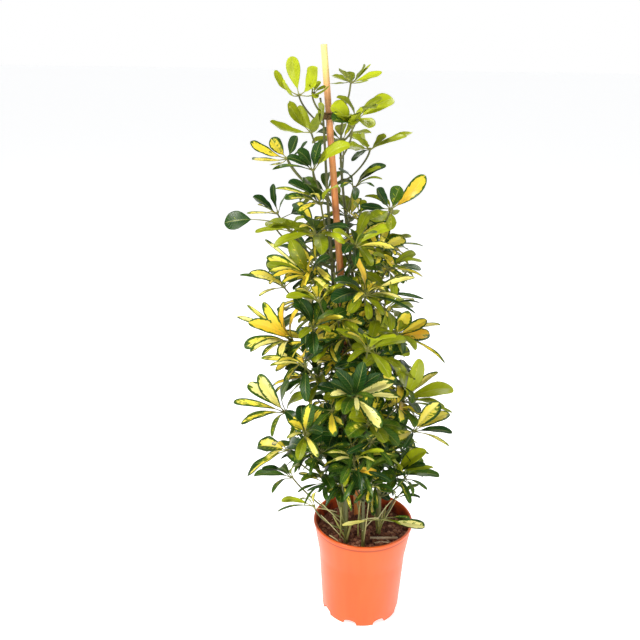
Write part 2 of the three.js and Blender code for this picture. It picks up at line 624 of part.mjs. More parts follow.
// The leaflets of a leaf as { turn about its axis, rise above its plane, length, wide }: those that show, set
// apart where they crowd, and then the rest in the widest gaps.
function whorl(leaf, at, { axis, sideways, other }) {
  const parts = (leaf.tips ?? []).map((tip) => {
    const reach = tipAt(at, tip, leaf.length).sub(at);
    const turn = Math.atan2(reach.dot(other), reach.dot(sideways));
    const climb = reach.dot(axis) / reach.length();
    const rise = Math.asin(THREE.MathUtils.clamp(climb, -leaflet.steepest, leaflet.steepest));
    return { turn, rise, length: reach.length(), wide: tip[3] ?? 1 };
  });
  const spare = { rise: radians(leaf.rise), length: leaf.length * leaflet.later, wide: 1 };
  if (!parts.length) parts.push({ ...spare, turn: leaflet.firstTurn });
  const least = ((2 * Math.PI) / leaf.count) * leaflet.spread;
  for (let round = 0; round < leaflet.rounds && parts.length > 1; round += 1) {
    gapsBetween(parts);
    parts.forEach((part, i) => {
      const next = parts[(i + 1) % parts.length];
      const gap = next.turn - part.turn + (i + 1 === parts.length ? 2 * Math.PI : 0);
      if (gap < least) {
        part.turn -= (least - gap) / 2;
        next.turn += (least - gap) / 2;
      }
    });
  }
  while (parts.length < leaf.count) {
    const gaps = gapsBetween(parts);
    const widest = gaps.indexOf(Math.max(...gaps));
    parts.push({ turn: parts[widest].turn + gaps[widest] / 2, ...spare });
  }
  return parts.sort((a, b) => a.turn - b.turn);
}

// One leaf as one closed body. Each leaflet is a strip of four-cornered sections from the hub to its tip: a
// stalk, then a blade that is thick at the midrib and thin at its raised edges. The leafstalk's rings close
// the underside.
function leafSolid(leaf, stem) {
  const middle = placeAt(leaf.hub, leaf.y);
  const axis = vec(...leaf.faces).normalize();
  const sideways = vec(0, 0, 1).cross(axis).normalize();
  const other = axis.clone().cross(sideways);
  const parts = whorl(leaf, middle, { axis, sideways, other });
  const compass = (turn) =>
    sideways.clone().multiplyScalar(Math.cos(turn)).addScaledVector(other, Math.sin(turn));
  const turnOf = (p) => {
    const reach = p.clone().sub(middle);
    return Math.atan2(reach.dot(other), reach.dot(sideways));
  };
  const points = [along(middle, axis, hub.top)];
  const faces = [];
  const gaps = gapsBetween(parts);
  const corners = parts.map((part, i) => {
    const corner = along(middle, compass(part.turn + gaps[i] / 2), hub.radius);
    return points.push(corner) - 1;
  });
  const underside = [];
  parts.forEach((part, i) => {
    const out = compass(part.turn);
    const across = axis.clone().cross(out);
    const flat = along(middle, out, part.length * Math.cos(part.rise));
    const tip = along(flat, axis, part.length * Math.sin(part.rise));
    const chord = tip.clone().sub(middle);
    const aboveOf = (direction) => {
      const above = direction.clone().cross(across).normalize();
      return above.dot(axis) < 0 ? above.negate() : above;
    };
    const root = along(middle, out, hub.radius);
    const arch = 2 * (leaf.bow ?? leaflet.bow) * part.length;
    const peak = along(along(middle, chord, 0.5), aboveOf(chord), arch);
    const path = new THREE.QuadraticBezierCurve3(root, peak, tip);
    const stalk = leaf.stalk ?? leaflet.stalk;
    const left = corners[i];
    const right = corners[(i + parts.length - 1) % parts.length];
    const crown = points.push(along(root, axis, hub.half)) - 1;
    const sole = points.push(along(root, axis, -hub.half)) - 1;
    faces.push([0, right, crown], [0, crown, left]);
    underside.push(sole, left);
    let ring = [left, crown, right, sole];
    const sections = leaf.tips ? leaflet.sections : leaflet.plainSections;
    sections.forEach(({ along: reach, wide, share, thick }) => {
      const at = THREE.MathUtils.lerp(stalk, 1, reach);
      const place = path.getPoint(at);
      const above = aboveOf(path.getTangent(at));
      const half = (wide ?? share * leaf.width * part.wide) / 2;
      const edge = along(place, above, wide ? 0 : leaflet.fold * half);
      const next = points.length;
      points.push(along(edge, across, half), along(place, above, thick / 2));
      points.push(along(edge, across, -half), along(place, above, -thick / 2));
      const [a, b, c, d] = ring;
      faces.push([a, b, next + 1], [a, next + 1, next], [b, c, next + 2], [b, next + 2, next + 1]);
      faces.push([c, d, next + 2], [d, next + 3, next + 2], [d, a, next + 3], [a, next, next + 3]);
      ring = [next, next + 1, next + 2, next + 3];
    });
    points.push(tip);
    ring.forEach((from, k) => faces.push([from, ring[(k + 1) % ring.length], points.length - 1]));
  });
  const line = leafstalkLine(middle, axis, stem);
  const rings = addRings(points, faces, line, leafstalk.foot, leafstalk.top, leafstalk.sides);
  addCap(faces, rings[0].slice().reverse());
  const ends = [underside, rings[rings.length - 1]];
  const [upper, lower] = ends.map((ring) => ring.map((point) => ({ point, turn: turnOf(points[point]) })));
  addStitches(faces, upper, lower);
  return toSolid(fromTriangles(points, faces));
}

// ---------- stems ----------

const asLine = (list) => list.map((p) => vec(...p));

function stemPointAt(line, height) {
  const above = line.findIndex((p) => p.z >= height);
  if (above < 0) return line[line.length - 1].clone();
  const from = line[above - 1];
  return from.clone().lerp(line[above], (height - from.z) / (line[above].z - from.z));
}

// A leafstalk leaves its stem below the leaf, swings out and up, and ends under the hub, on the leaf's axis.
function leafstalkLine(middle, axis, stem) {
  const line = asLine(stem.line);
  const nearby = stemPointAt(line, middle.z);
  const level = Math.hypot(middle.x - nearby.x, middle.y - nearby.y);
  const highest = line[line.length - 1].z - leafstalk.belowTip;
  const height = middle.z - leafstalk.drop - leafstalk.dropShare * level;
  const start = stemPointAt(line, THREE.MathUtils.clamp(height, leafstalk.lowest, highest));
  const reach = middle.distanceTo(start);
  const out = middle.clone().sub(start).setZ(0).normalize();
  const first = along(along(start, out, leafstalk.swing * reach), vec(0, 0, 1), leafstalk.climb * reach);
  const second = along(middle, axis, -leafstalk.swing * reach);
  const end = along(middle, axis, -hub.under);
  return new THREE.CubicBezierCurve3(start, first, second, end).getPoints(leafstalk.steps);
}

function makeStem(stem) {
  const trunk = toSolid(rod(asLine(stem.line), stem.radius, stem.tip, trunkSides));
  const grown = stem.leaves.map((leaf) => leafSolid(leaf, stem));
  return toGeometry(joined([trunk, ...grown]).simplify(finest));
}

// ---------- ties and the dry stalk ----------

// A strap round the stake and the left stem, with a knot and two short ends on the viewer's side.
function makeTie(height) {
  const held = stems[0];
  const line = asLine(held.line);
  const first = stemPointAt(asLine(stakeLine), height);
  const second = stemPointAt(line, height);
  const share = height / line[line.length - 1].z;
  const radii = [stake.radius, THREE.MathUtils.lerp(held.radius, held.tip, share)];
  const span = first.distanceTo(second);
  const lean = Math.acos((radii[0] - radii[1]) / span);
  const loop = (spare) => {
    const shape = new THREE.Shape();
    shape.absarc(0, 0, radii[0] + spare, lean, 2 * Math.PI - lean);
    shape.absarc(span, 0, radii[1] + spare, -lean, lean);
    return shape;
  };
  const strap = loop(tie.gap + tie.thick);
  strap.holes.push(new THREE.Path(loop(tie.gap).getPoints(tie.steps)));
  const options = { depth: tie.band, bevelEnabled: false, curveSegments: tie.steps };
  const band = new THREE.ExtrudeGeometry(strap, options).translate(0, 0, -tie.band / 2);
  const heading = Math.atan2(second.y - first.y, second.x - first.x);
  band.rotateZ(heading).translate(first.x, first.y, height);
  const across = second.clone().sub(first).cross(vec(0, 0, 1)).normalize();
  const front = across.y < 0 ? across : across.negate();
  const knotPlace = along(first.clone().lerp(second, 0.5), front, radii[0] + tie.gap + tie.thick + 1);
  const knot = new THREE.SphereGeometry(tie.knot, 6, 3).translate(...knotPlace);
  const ends = [-1, 1].map((way) => {
    const tip = vec(way * tie.endSpread, -tie.endForward, -tie.endLength).add(knotPlace);
    return toSolid(rod([knotPlace, tip], tie.endRadius, tie.endRadius * 0.6, 4));
  });
  return toGeometry(joined([toSolid(band), toSolid(knot), ...ends]));
}

function makeDryStalk(spare = 0) {
  const [from, to] = [dryStalk.from, dryStalk.to].map(([x, y]) => vec(x, y, soil.top + dryStalk.lift));
  const middle = from.clone().lerp(to, 0.5).add(vec(...dryStalk.bow));
  const beyond = to.clone().sub(from).setLength(spare);
  const line = [from.sub(beyond), middle, to.add(beyond)];
  return rod(line, dryStalk.radius + spare, dryStalk.tipRadius + spare, dryStalk.sides);
}

// ---------- the whole plant ----------

const stakeRod = rod(asLine(stakeLine), stake.radius, stake.tipRadius, stake.sides);

const plant = new THREE.Group();
plant.add(named("pot", makePot(), "#f47a4a", 0.45));
plant.add(named("soil", makeSoil(), "#2c1d16", 0.95));
plant.add(named("stake", stakeRod, "#cf7d3c", 0.6));
Object.entries(tie.heights).forEach(([name, height]) => {
  plant.add(named(name, makeTie(height), "#7a5a34", 0.8));
});
plant.add(named("dry_stalk", makeDryStalk(), "#a98a6a", 0.85));
stems.forEach((stem) => plant.add(named(stem.name, makeStem(stem), "#7f8f1e", 0.4)));

export default plant;
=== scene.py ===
import itertools
import json
import math
import random

import bmesh
import bpy
from mathutils import Matrix, Vector, noise

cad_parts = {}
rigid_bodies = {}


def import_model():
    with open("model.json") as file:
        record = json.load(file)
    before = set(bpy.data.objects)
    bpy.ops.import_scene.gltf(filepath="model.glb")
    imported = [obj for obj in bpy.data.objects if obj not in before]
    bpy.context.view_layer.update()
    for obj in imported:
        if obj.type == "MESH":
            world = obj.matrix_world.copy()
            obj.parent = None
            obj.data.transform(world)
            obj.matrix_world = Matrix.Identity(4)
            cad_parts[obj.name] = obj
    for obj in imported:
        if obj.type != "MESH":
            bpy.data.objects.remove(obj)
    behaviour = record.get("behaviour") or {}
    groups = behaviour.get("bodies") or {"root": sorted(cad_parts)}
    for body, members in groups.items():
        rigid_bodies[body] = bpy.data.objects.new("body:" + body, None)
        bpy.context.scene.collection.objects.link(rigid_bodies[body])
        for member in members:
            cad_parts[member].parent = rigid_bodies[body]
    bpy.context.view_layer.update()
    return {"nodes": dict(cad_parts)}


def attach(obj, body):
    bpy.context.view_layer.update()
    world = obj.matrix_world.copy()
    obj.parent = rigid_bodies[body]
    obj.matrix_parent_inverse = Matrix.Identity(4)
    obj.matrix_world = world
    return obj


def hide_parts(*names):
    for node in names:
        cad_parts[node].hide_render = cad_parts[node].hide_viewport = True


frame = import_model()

mm = 0.001  # the plant is laid out in millimetres, as it was measured
print("frame loaded:", len(frame["nodes"]), "nodes")


# where the photograph was taken from, in mm, degrees and pixels
viewpoint = dict(x=-100, y=-1486, z=1244, pitch=20.7, roll=0.8, focal=800, middle=320, sensor=36)


def photoCamera():
    pitch, roll = math.radians(viewpoint["pitch"]), math.radians(viewpoint["roll"])
    ahead = Vector((0, math.cos(pitch), -math.sin(pitch)))
    level = Vector((1, 0, 0))
    upright = level.cross(ahead)
    right = level * math.cos(roll) + upright * math.sin(roll)
    up = upright * math.cos(roll) - level * math.sin(roll)
    return Vector((viewpoint["x"], viewpoint["y"], viewpoint["z"])), right, up, ahead


eye, eyeRight, eyeUp, eyeAhead = photoCamera()


def rayTo(px, py):
    across, high = px - viewpoint["middle"], viewpoint["middle"] - py
    return eyeAhead + eyeRight * (across / viewpoint["focal"]) + eyeUp * (high / viewpoint["focal"])


def placeAt(pixel, y):
    ray = rayTo(*pixel)
    return eye + ray * ((y - eye.y) / ray.y)


camera = bpy.data.objects.new("photoCamera", bpy.data.cameras.new("photoCamera"))
bpy.context.scene.collection.objects.link(camera)
bpy.context.scene.camera = camera
camera.data.sensor_width = viewpoint["sensor"]
camera.data.lens = viewpoint["sensor"] * viewpoint["focal"] / (2 * viewpoint["middle"])
camera.matrix_world = Matrix(
    [(eyeRight[i], eyeUp[i], -eyeAhead[i], eye[i] * mm) for i in range(3)] + [(0, 0, 0, 1)]
)
camera.data.clip_end = 60


# ways of building

class Growth:
    # points and faces of one mesh, with what its material reads at each point
    def __init__(self):
        self.points = []
        self.faces = []
        self.finishes = []
        self.blade = []  # how far along and across, and a number that differs for each leaflet or crumb
        self.tint = []
        self.upper = []

    def point(self, place, blade=(0, 0, 0), tint=(0, 0, 0), upper=1):
        self.points.append(place)
        self.blade.append(blade)
        self.tint.append(tint)
        self.upper.append(upper)
        return len(self.points) - 1

    def face(self, corners, finish=0):
        self.faces.append(corners)
        self.finishes.append(finish)

    def strip(self, before, after, finish=0):
        # joins two open rows of points, or a row and a single point
        for i in range(len(before) - 1):
            ends = (after[i + 1], after[i]) if len(after) > 1 else tuple(after)
            self.face((before[i], before[i + 1], *ends), finish)

    def join(self, before, after, finish=0):
        # joins two closed rings of points
        self.strip(before + before[:1], after + after[:1], finish)

    def make(self, name, materials, smooth=True):
        mesh = bpy.data.meshes.new(name)
        mesh.from_pydata([p * mm for p in self.points], [], self.faces)
        mesh.polygons.foreach_set("material_index", self.finishes)
        mesh.polygons.foreach_set("use_smooth", [smooth] * len(self.faces))
        for label, values in (("blade", self.blade), ("tint", self.tint)):
            layer = mesh.attributes.new(label, "FLOAT_VECTOR", "POINT")
            layer.data.foreach_set("vector", [number for value in values for number in value])
        layer = mesh.attributes.new("upper", "FLOAT", "POINT")
        layer.data.foreach_set("value", self.upper)
        for material in materials:
            mesh.materials.append(material)
        mesh.update()
        return settle(bpy.data.objects.new(name, mesh))


def settle(piece):
    bpy.context.scene.collection.objects.link(piece)
    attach(piece, "root")
    return piece


def partway(first, second, share):
    return first + (second - first) * share


def turnsOf(sides):
    return [2 * math.pi * side / sides for side in range(sides)]


def smoothLine(points, step):
    # a curve through all the points, with a point about every step
    points = [Vector(p) for p in points]
    ends = [points[0] * 2 - points[1]] + points + [points[-1] * 2 - points[-2]]
    line = []
    for a, b, c, d in zip(ends, ends[1:], ends[2:], ends[3:]):
        count = max(1, round((c - b).length / step))
        for i in range(count):
            t = i / count
            line.append(0.5 * (2 * b + (c - a) * t + (2 * a - 5 * b + 4 * c - d) * t ** 2
                               + (3 * b - a - 3 * c + d) * t ** 3))
    return line + [points[-1]]


def bezier(corners, t):
    while len(corners) > 1:
        corners = [a.lerp(b, t) for a, b in zip(corners, corners[1:])]
    return corners[0]


def addTube(growth, line, radiusAt, sides, tintAt=lambda share: (0, 0, 0), finish=0, seed=0.0, closed=True,
            upperAt=lambda share: 1):
    # radiusAt, tintAt and upperAt take how far along the line a point is, from 0 to 1, and radiusAt its turn
    across = Vector((0.1, 1, 0))
    rings = []
    last = len(line) - 1
    for i, place in enumerate(line):
        share = i / last
        direction = (line[min(i + 1, last)] - line[max(i - 1, 0)]).normalized()
        across = (across - direction * across.dot(direction)).normalized()
        other = direction.cross(across)
        ring = []
        for side, turn in enumerate(turnsOf(sides)):
            out = across * math.cos(turn) + other * math.sin(turn)
            skin = place + out * radiusAt(share, turn)
            ring.append(growth.point(skin, (share, side / sides, seed), tintAt(share), upperAt(share)))
        rings.append(ring)
    for before, after in zip(rings, rings[1:]):
        growth.join(before, after, finish)
    if closed:
        growth.face(tuple(reversed(rings[0])), finish)
        growth.face(tuple(rings[-1]), finish)
    return rings


def linear(colour):
    # a colour as it looks on screen, such as "#ffcc88", as the light that a shader works in
    channels = [int(colour[i:i + 2], 16) / 255 for i in (1, 3, 5)]
    return [c / 12.92 if c <= 0.04045 else ((c + 0.055) / 1.055) ** 2.4 for c in channels] + [1]


class Wire:
    # a node's socket that can stand in an expression
    def __init__(self, paint, socket):
        self.paint = paint
        self.socket = socket

    def maths(self, operation, first, second):
        return self.paint.node("ShaderNodeMath", {"operation": operation}, {0: first, 1: second})

    def __add__(self, other):
        return self.maths("ADD", self, other)

    def __radd__(self, other):
        return self.maths("ADD", other, self)

    def __sub__(self, other):
        return self.maths("SUBTRACT", self, other)

    def __rsub__(self, other):
        return self.maths("SUBTRACT", other, self)

    def __mul__(self, other):
        return self.maths("MULTIPLY", self, other)

    def __rmul__(self, other):
        return self.maths("MULTIPLY", other, self)

    def __abs__(self):
        return self.maths("ABSOLUTE", self, 0)

    def __mod__(self, other):
        return self.maths("FLOORED_MODULO", self, other)


class Paint:
    # one material, or the world, and the ways to add to its nodes
    def __init__(self, name, kind=bpy.data.materials, shader="Principled BSDF", **sockets):
        self.material = kind.new(name)
        self.material.use_nodes = True
        self.tree = self.material.node_tree
        self.shader = self.tree.nodes[shader]
        for socket, value in sockets.items():
            self.give(socket.replace("_", " "), value)

    def fill(self, socket, value):
        # with a link, a colour as text, or a value
        if isinstance(value, Wire):
            self.tree.links.new(value.socket, socket)
        else:
            socket.default_value = linear(value) if isinstance(value, str) else value

    def node(self, kind, settings=None, sockets=None, output=0):
        made = self.tree.nodes.new(kind)
        for name, value in (settings or {}).items():
            if name == "stops":
                while len(made.color_ramp.elements) < len(value):
                    made.color_ramp.elements.new(1)
                for stop, (place, colour) in zip(made.color_ramp.elements, value):
                    stop.position = place
                    stop.color = linear(colour)
            else:
                setattr(made, name, value)
        for key, value in (sockets or {}).items():
            self.fill(made.inputs[key], value)
        return Wire(self, made.outputs[output])

    def read(self, name, output="Vector"):
        return self.node("ShaderNodeAttribute", {"attribute_name": name}, output=output)

    def parts(self, vector):
        return [self.node("ShaderNodeSeparateXYZ", None, {0: vector}, i) for i in range(3)]

    def vector(self, x, y, z):
        return self.node("ShaderNodeCombineXYZ", None, {0: x, 1: y, 2: z})

    def noise(self, vector, scale, detail=2.0, roughness=0.5):
        sockets = {"Vector": vector, "Scale": scale, "Detail": detail, "Roughness": roughness}
        return self.node("ShaderNodeTexNoise", None, sockets)

    def step(self, value, low, high):
        settings = {"interpolation_type": "SMOOTHSTEP"}
        return self.node("ShaderNodeMapRange", settings, {0: value, 1: low, 2: high})

    def mix(self, factor, first, second):
        return self.node("ShaderNodeMix", {"data_type": "RGBA"}, {0: factor, 6: first, 7: second}, 2)

    def ramp(self, factor, stops):
        return self.node("ShaderNodeValToRGB", {"stops": stops}, {0: factor})

    def place(self, stretch=(1, 1, 1)):
        # where on the object, stretched
        seen = self.node("ShaderNodeTexCoord", output="Object")
        return self.node("ShaderNodeVectorMath", {"operation": "MULTIPLY"}, {0: seen, 1: stretch})

    def give(self, socket, value):
        self.fill(self.shader.inputs[socket], value)

    def bump(self, height, distance, strength=1.0):
        sockets = {"Height": height, "Distance": distance, "Strength": strength}
        self.give("Normal", self.node("ShaderNodeBump", None, sockets))


# stake: a peeled stick, orange-brown and pale at its sawn tip
stake = dict(
    radius=8.4, tipRadius=6.2, sides=28, step=7, knots=[300, 452, 597, 768, 905, 1040], knotLength=7,
    slim=0.95, lump=0.05, knotSwell=0.08, knotDark=0.8, sawnEdge=0.86, sawnHeight=0.5,
    wood=[(0.25, "#a8562a"), (0.45, "#cf7a3a"), (0.6, "#e09a55"), (0.8, "#eab877")],
    knotColour="#7c3f1e", paleTopWood="#f0bd84", tipColour="#f3e08a",
    line=[
        (-10, 50, 40), (-10, 50, 205), (-22, 42, 330), (-36, 34, 455), (-48, 25, 580), (-56, 17, 720),
        (-68, 9, 850), (-79, 4, 970), (-89, 1, 1080), (-100, 0, 1200),
    ],
)
stakeLine = smoothLine(stake["line"], stake["step"])


# leaf colours: green runs from dark to lime, splash is how much of a leaflet is pale, and hue runs from
# cream through yellow to gold
leafTints = {
    "dark": dict(green=0.05, splash=-0.3, hue=0.4),
    "green": dict(green=0.3, splash=0.02, hue=0.4),
    "olive": dict(green=0.64, splash=-0.05, hue=0.5),
    "lime": dict(green=0.92, splash=-0.05, hue=0.35),
    "splashed": dict(green=0.14, splash=0.54, hue=0.42),
    "yellow": dict(green=0.2, splash=0.9, hue=0.5),
    "gold": dict(green=0.24, splash=1.05, hue=0.8),
    "cream": dict(green=0.16, splash=1.0, hue=0.14),
    "pale": dict(green=0.42, splash=0.76, hue=0.25),
    "ivory": dict(green=0.3, splash=1.7, hue=0.3),
}
bladeLook = dict(
    greens=[(0.0, "#143a12"), (0.3, "#385a15"), (0.62, "#7f8a0c"), (1.0, "#b4c01c")],
    brights=[(0.0, "#efe99c"), (0.5, "#eeda40"), (1.0, "#efb636")],
    between="#98a81c",
    rib="#bcc268",
    underside="#808c2e",
    veins=10,
    slant=1.9,
    contrast=7.2,
    split=1.1,  # how much one side of the midrib differs from the other
    rim=4.2,  # how much darker the rim and the tip are
    end=2.6,
)


def bladeFinish():
    # a glossy leaflet: dark to lime, with paler patches that follow the veins out from the midrib
    look = bladeLook
    paint = Paint("glossyLeaf", Coat_Weight=0.06, Coat_Roughness=0.25, Specular_IOR_Level=0.2)
    along, across, seed = paint.parts(paint.read("blade"))
    green, splash, hue = paint.parts(paint.read("tint"))
    upper = paint.step(paint.read("upper", "Fac"), 0.3, 0.7)
    spread = abs(across)
    vein = along * look["veins"] - spread * look["slant"]
    streaks = paint.noise(paint.vector(vein * 1.3, across * 1.1, seed * 7), 1, 3, 0.6)
    patches = paint.noise(paint.vector(along * 4, across * 1.3, seed * 5 + 40), 1, 2)
    side = paint.step(across, -0.06, 0.06) * 2 - 1
    split = side * ((seed * 1.7 % 1) - 0.5) * (2 * look["split"])
    rim = paint.step(spread + (streaks - 0.5) * 0.9, 0.56, 0.94)
    end = paint.step(along + (patches - 0.5) * 0.5, 0.84, 1.0)
    level = (streaks * 0.6 + patches * 0.4 - 0.5) * look["contrast"] + (splash - 0.5) * 3 + split
    level = level - rim * look["rim"] - end * look["end"]
    bright = paint.step(level, -0.1, 0.1)
    between = paint.step(level + 0.6, -0.12, 0.12)
    leafGreen = paint.ramp(green + (patches - 0.5) * 0.35 + (streaks - 0.5) * 0.2, look["greens"])
    paler = paint.mix(0.55, leafGreen, look["between"])
    colour = paint.mix(between, leafGreen, paler)
    colour = paint.mix(bright, colour, paint.ramp(hue + (patches - 0.5) * 0.5, look["brights"]))
    rib = 1 - paint.step(spread, 0.015, 0.07)
    lines = 1 - paint.step(abs(vein % 1 - 0.5), 0.02, 0.12)
    colour = paint.mix(rib * 0.4 + lines * 0.1, colour, look["rib"])
    below = paint.mix(0.14, colour, look["underside"])
    paint.give("Base Color", paint.mix(upper, below, colour))
    paint.give("Roughness", 0.6 - upper * 0.28 + (patches - 0.5) * 0.12)
    paint.bump(lines * -0.25 - rib * 0.7 + streaks * 0.3, 0.0006, 0.7)
    return paint.material


stalkLook = dict(
    leafstalk="#47502a", stem="#4b5320", bark="#6a5a2e", young="#a5a552", straw="#d2c893",
    specks="#98996a", shade="#262c14",
)


def stalkFinish():
    # green bark: tint x is 0 on a leafstalk and 1 on a stem, y how woody it is, z how young and pale, and
    # above 1 how dry
    look = stalkLook
    paint = Paint("greenBark", Coat_Weight=0.1, Coat_Roughness=0.3)
    kind, woody, young = paint.parts(paint.read("tint"))
    mottle = paint.noise(paint.place((1, 1, 0.35)), 260, 4, 0.6)
    grain = paint.noise(paint.place((1, 1, 0.08)), 900, 2)
    colour = paint.mix(kind, look["leafstalk"], look["stem"])
    colour = paint.mix(young, colour, look["young"])
    colour = paint.mix(woody * paint.step(mottle, 0.35, 0.65), colour, look["bark"])
    specks = paint.step(paint.noise(paint.place(), 700, 1), 0.66, 0.72) * kind
    colour = paint.mix(specks * 0.6, colour, look["specks"])
    shade = paint.step(paint.noise(paint.place((1, 1, 0.2)), 60, 2), 0.3, 0.75)
    colour = paint.mix(shade * 0.5, colour, look["shade"])
    colour = paint.mix(paint.step(young, 0.9, 1.9) * 0.85, colour, look["straw"])
    paint.give("Base Color", colour)
    paint.give("Roughness", 0.45 + mottle * 0.2)
    paint.bump(grain * 0.5 + mottle * 0.4 + specks * 0.4, 0.0005, 0.6)
    return paint.material


leafShape = dict(
    spread=0.5,  # the least turn between two leaflets, as a share of an even one
    spreadRounds=20,
    steepest=0.9,  # sine of the most that a leaflet rises or falls
    firstTurn=0.4,  # of a leaf with no leaflet that shows
    more=3,  # leaflets added to those that show, on a leaf that has a back
    most=11,
    addedRise=(-5, 8),  # degrees on top of the leaf's own
    addedLength=(0.8, 0.96), addedWidth=(0.75, 1.0),  # shares of the leaf's own
    others=["green", "olive", "splashed", "yellow"],  # tints of some of the leaflets added
    lowOthers=["green", "dark", "splashed"],
    highOthers=["green", "olive", "olive"],
    restShare=0.6,  # how many of the leaflets added have the leaf's own tint
    highFrom=900,
    slim=1.08,  # a blade's width, as a share of the width that its leaf gives
    hub=2.6,
    bow=0.1,
    stalk=0.12,  # of a leaflet's length
    stalkRadius=1.15, stalkTaper=(1.15, 0.5), stalkOn=0.12, stalkSteps=6, stalkSides=6,
    darkStalk=0.55, youngStalk=0.8,  # how pale it is under a dark blade and under the others
    thick=1.0, groove=0.35, grooveBelow=1.6,
    thinnest=0.8,  # half the width near the root and the tip
    droopFrom=0.55,  # of a leaflet's length
    rim=0.6,  # what the material reads on the edge, between 1 on the upper side and 0 below
    slender=0.65,  # the width of leaflets added below a height in mm
    slenderBelow=470,
    widest=150,  # mm from the stake's line that added leaflets reach out to, to the right or the left
    clear=17, clearAbove=770,  # mm beside the stake's line that they keep out of, above a height
    tested=(0.35, 0.6, 0.85, 1),  # shares of a leaflet's length where that is tested
    columns=[-1, -0.9, -0.58, -0.16, 0, 0.16, 0.58, 0.9, 1],
    rows=[0, 0.05, 0.12, 0.21, 0.32, 0.45, 0.58, 0.7, 0.8, 0.88, 0.935, 0.972, 0.993],
)
leafletDraws = dict(  # the least and the most that leaflets differ by
    sway=(-0.06, 0.06), green=(-0.07, 0.07), splash=(-0.08, 0.08), hue=(-0.12, 0.12), wide=(0.94, 1.06),
    broad=(0.85, 1.1), blunt=(0.42, 0.56), fold=(0.12, 0.48), twist=(-0.28, 0.28), droop=(0.0, 0.2),
    wave=(0.4, 1.5), waves=(1.3, 2.6), phase=(0, 6), seed=(0, 100),
)
leafstalk = dict(
    radius=1.7, flare=3.2, flareLength=7, drop=25, dropShare=0.7, swing=0.3, climb=0.12, lowest=217, steps=16,
    sides=9, underTip=4, underHub=4, woody=0.15, pale=(0.0, 0.45), paler=1.6, palerFrom=0.75,
    knob=[(-2.6, 2.1), (-1.0, 3.0), (0.6, 3.1), (1.7, 2.2), (2.2, 0.8)],
)


def tipAt(middle, px, py, side, length):
    # the tip that shows at a pixel, a leaflet's length from the hub
    ray = rayTo(px, py)
    level = eye + ray * (middle - eye).dot(eyeAhead)
    hidden = math.sqrt(max(length ** 2 - (level - middle).length_squared, 0))
    return level + ray.normalized() * (side * hidden)


def gapsBetween(parts):
    parts.sort(key=lambda part: part["turn"])
    turns = [part["turn"] for part in parts]
    return [after - before for before, after in zip(turns, turns[1:] + [turns[0] + 2 * math.pi])]


def whorl(leaf, middle, axis, sideways, other, chance):
    # the leaflets that show, set apart where they crowd, and then the rest in the widest gaps
    shape = leafShape
    parts, steepest = [], shape["steepest"]
    for px, py, tint, *own in leaf.get("tips", []):
        wide, side = own + [1, -1][len(own):]
        reach = tipAt(middle, px, py, side, leaf["length"]) - middle
        rise = math.asin(max(-steepest, min(steepest, reach.dot(axis) / reach.length)))
        turn = math.atan2(reach.dot(other), reach.dot(sideways))
        parts.append(dict(turn=turn, rise=rise, length=reach.length, tint=tint, wide=wide))
    shown = len(parts)
    if not parts:
        rise, turn = math.radians(leaf["rise"]), shape["firstTurn"]
        parts.append(dict(turn=turn, rise=rise, length=leaf["length"], tint=leaf["rest"], wide=1))
    whole = min(leaf["count"] + shape["more"], shape["most"])
    count = shown if shown >= leaf["count"] else whole
    least = 2 * math.pi / count * leaf.get("spread", shape["spread"])
    for _ in range(shape["spreadRounds"] if len(parts) > 1 else 0):
        gaps = gapsBetween(parts)
        for i, gap in enumerate(gaps):
            if gap < least:
                parts[i]["turn"] -= (least - gap) / 2
                parts[(i + 1) % len(parts)]["turn"] += (least - gap) / 2
    low = middle.z < shape["slenderBelow"]
    high = middle.z > shape["highFrom"]
    others = shape["lowOthers" if low else "highOthers" if high else "others"]
    while len(parts) < count:
        gaps = gapsBetween(parts)
        widest = gaps.index(max(gaps))
        parts.append(dict(
            turn=parts[widest]["turn"] + gaps[widest] / 2,
            added=True,
            rise=math.radians(leaf["rise"] + chance.uniform(*shape["addedRise"])),
            length=leaf["length"] * chance.uniform(*shape["addedLength"]),
            tint=leaf["rest"] if chance.random() < shape["restShare"] else chance.choice(others),
            wide=chance.uniform(*shape["addedWidth"]) * (shape["slender"] if low else 1),
        ))
    return parts


def outOfPlace(middle, out, length):
    # whether an added leaflet would widen the plant, or stand in front of the stake where that shows
    tip = middle + out * length
    if abs(tip.x - stemPointAt(stakeLine, tip.z).x) > leafShape["widest"]:
        return True
    for share in leafShape["tested"]:
        place = middle + out * (length * share)
        beside = stemPointAt(stakeLine, place.z)
        seen = eye + (place - eye) * ((beside.y - eye.y) / (place.y - eye.y))
        inFront = place.y < beside.y and seen.z > leafShape["clearAbove"]
        if inFront and abs(seen.x - beside.x) < leafShape["clear"]:
            return True
    return False


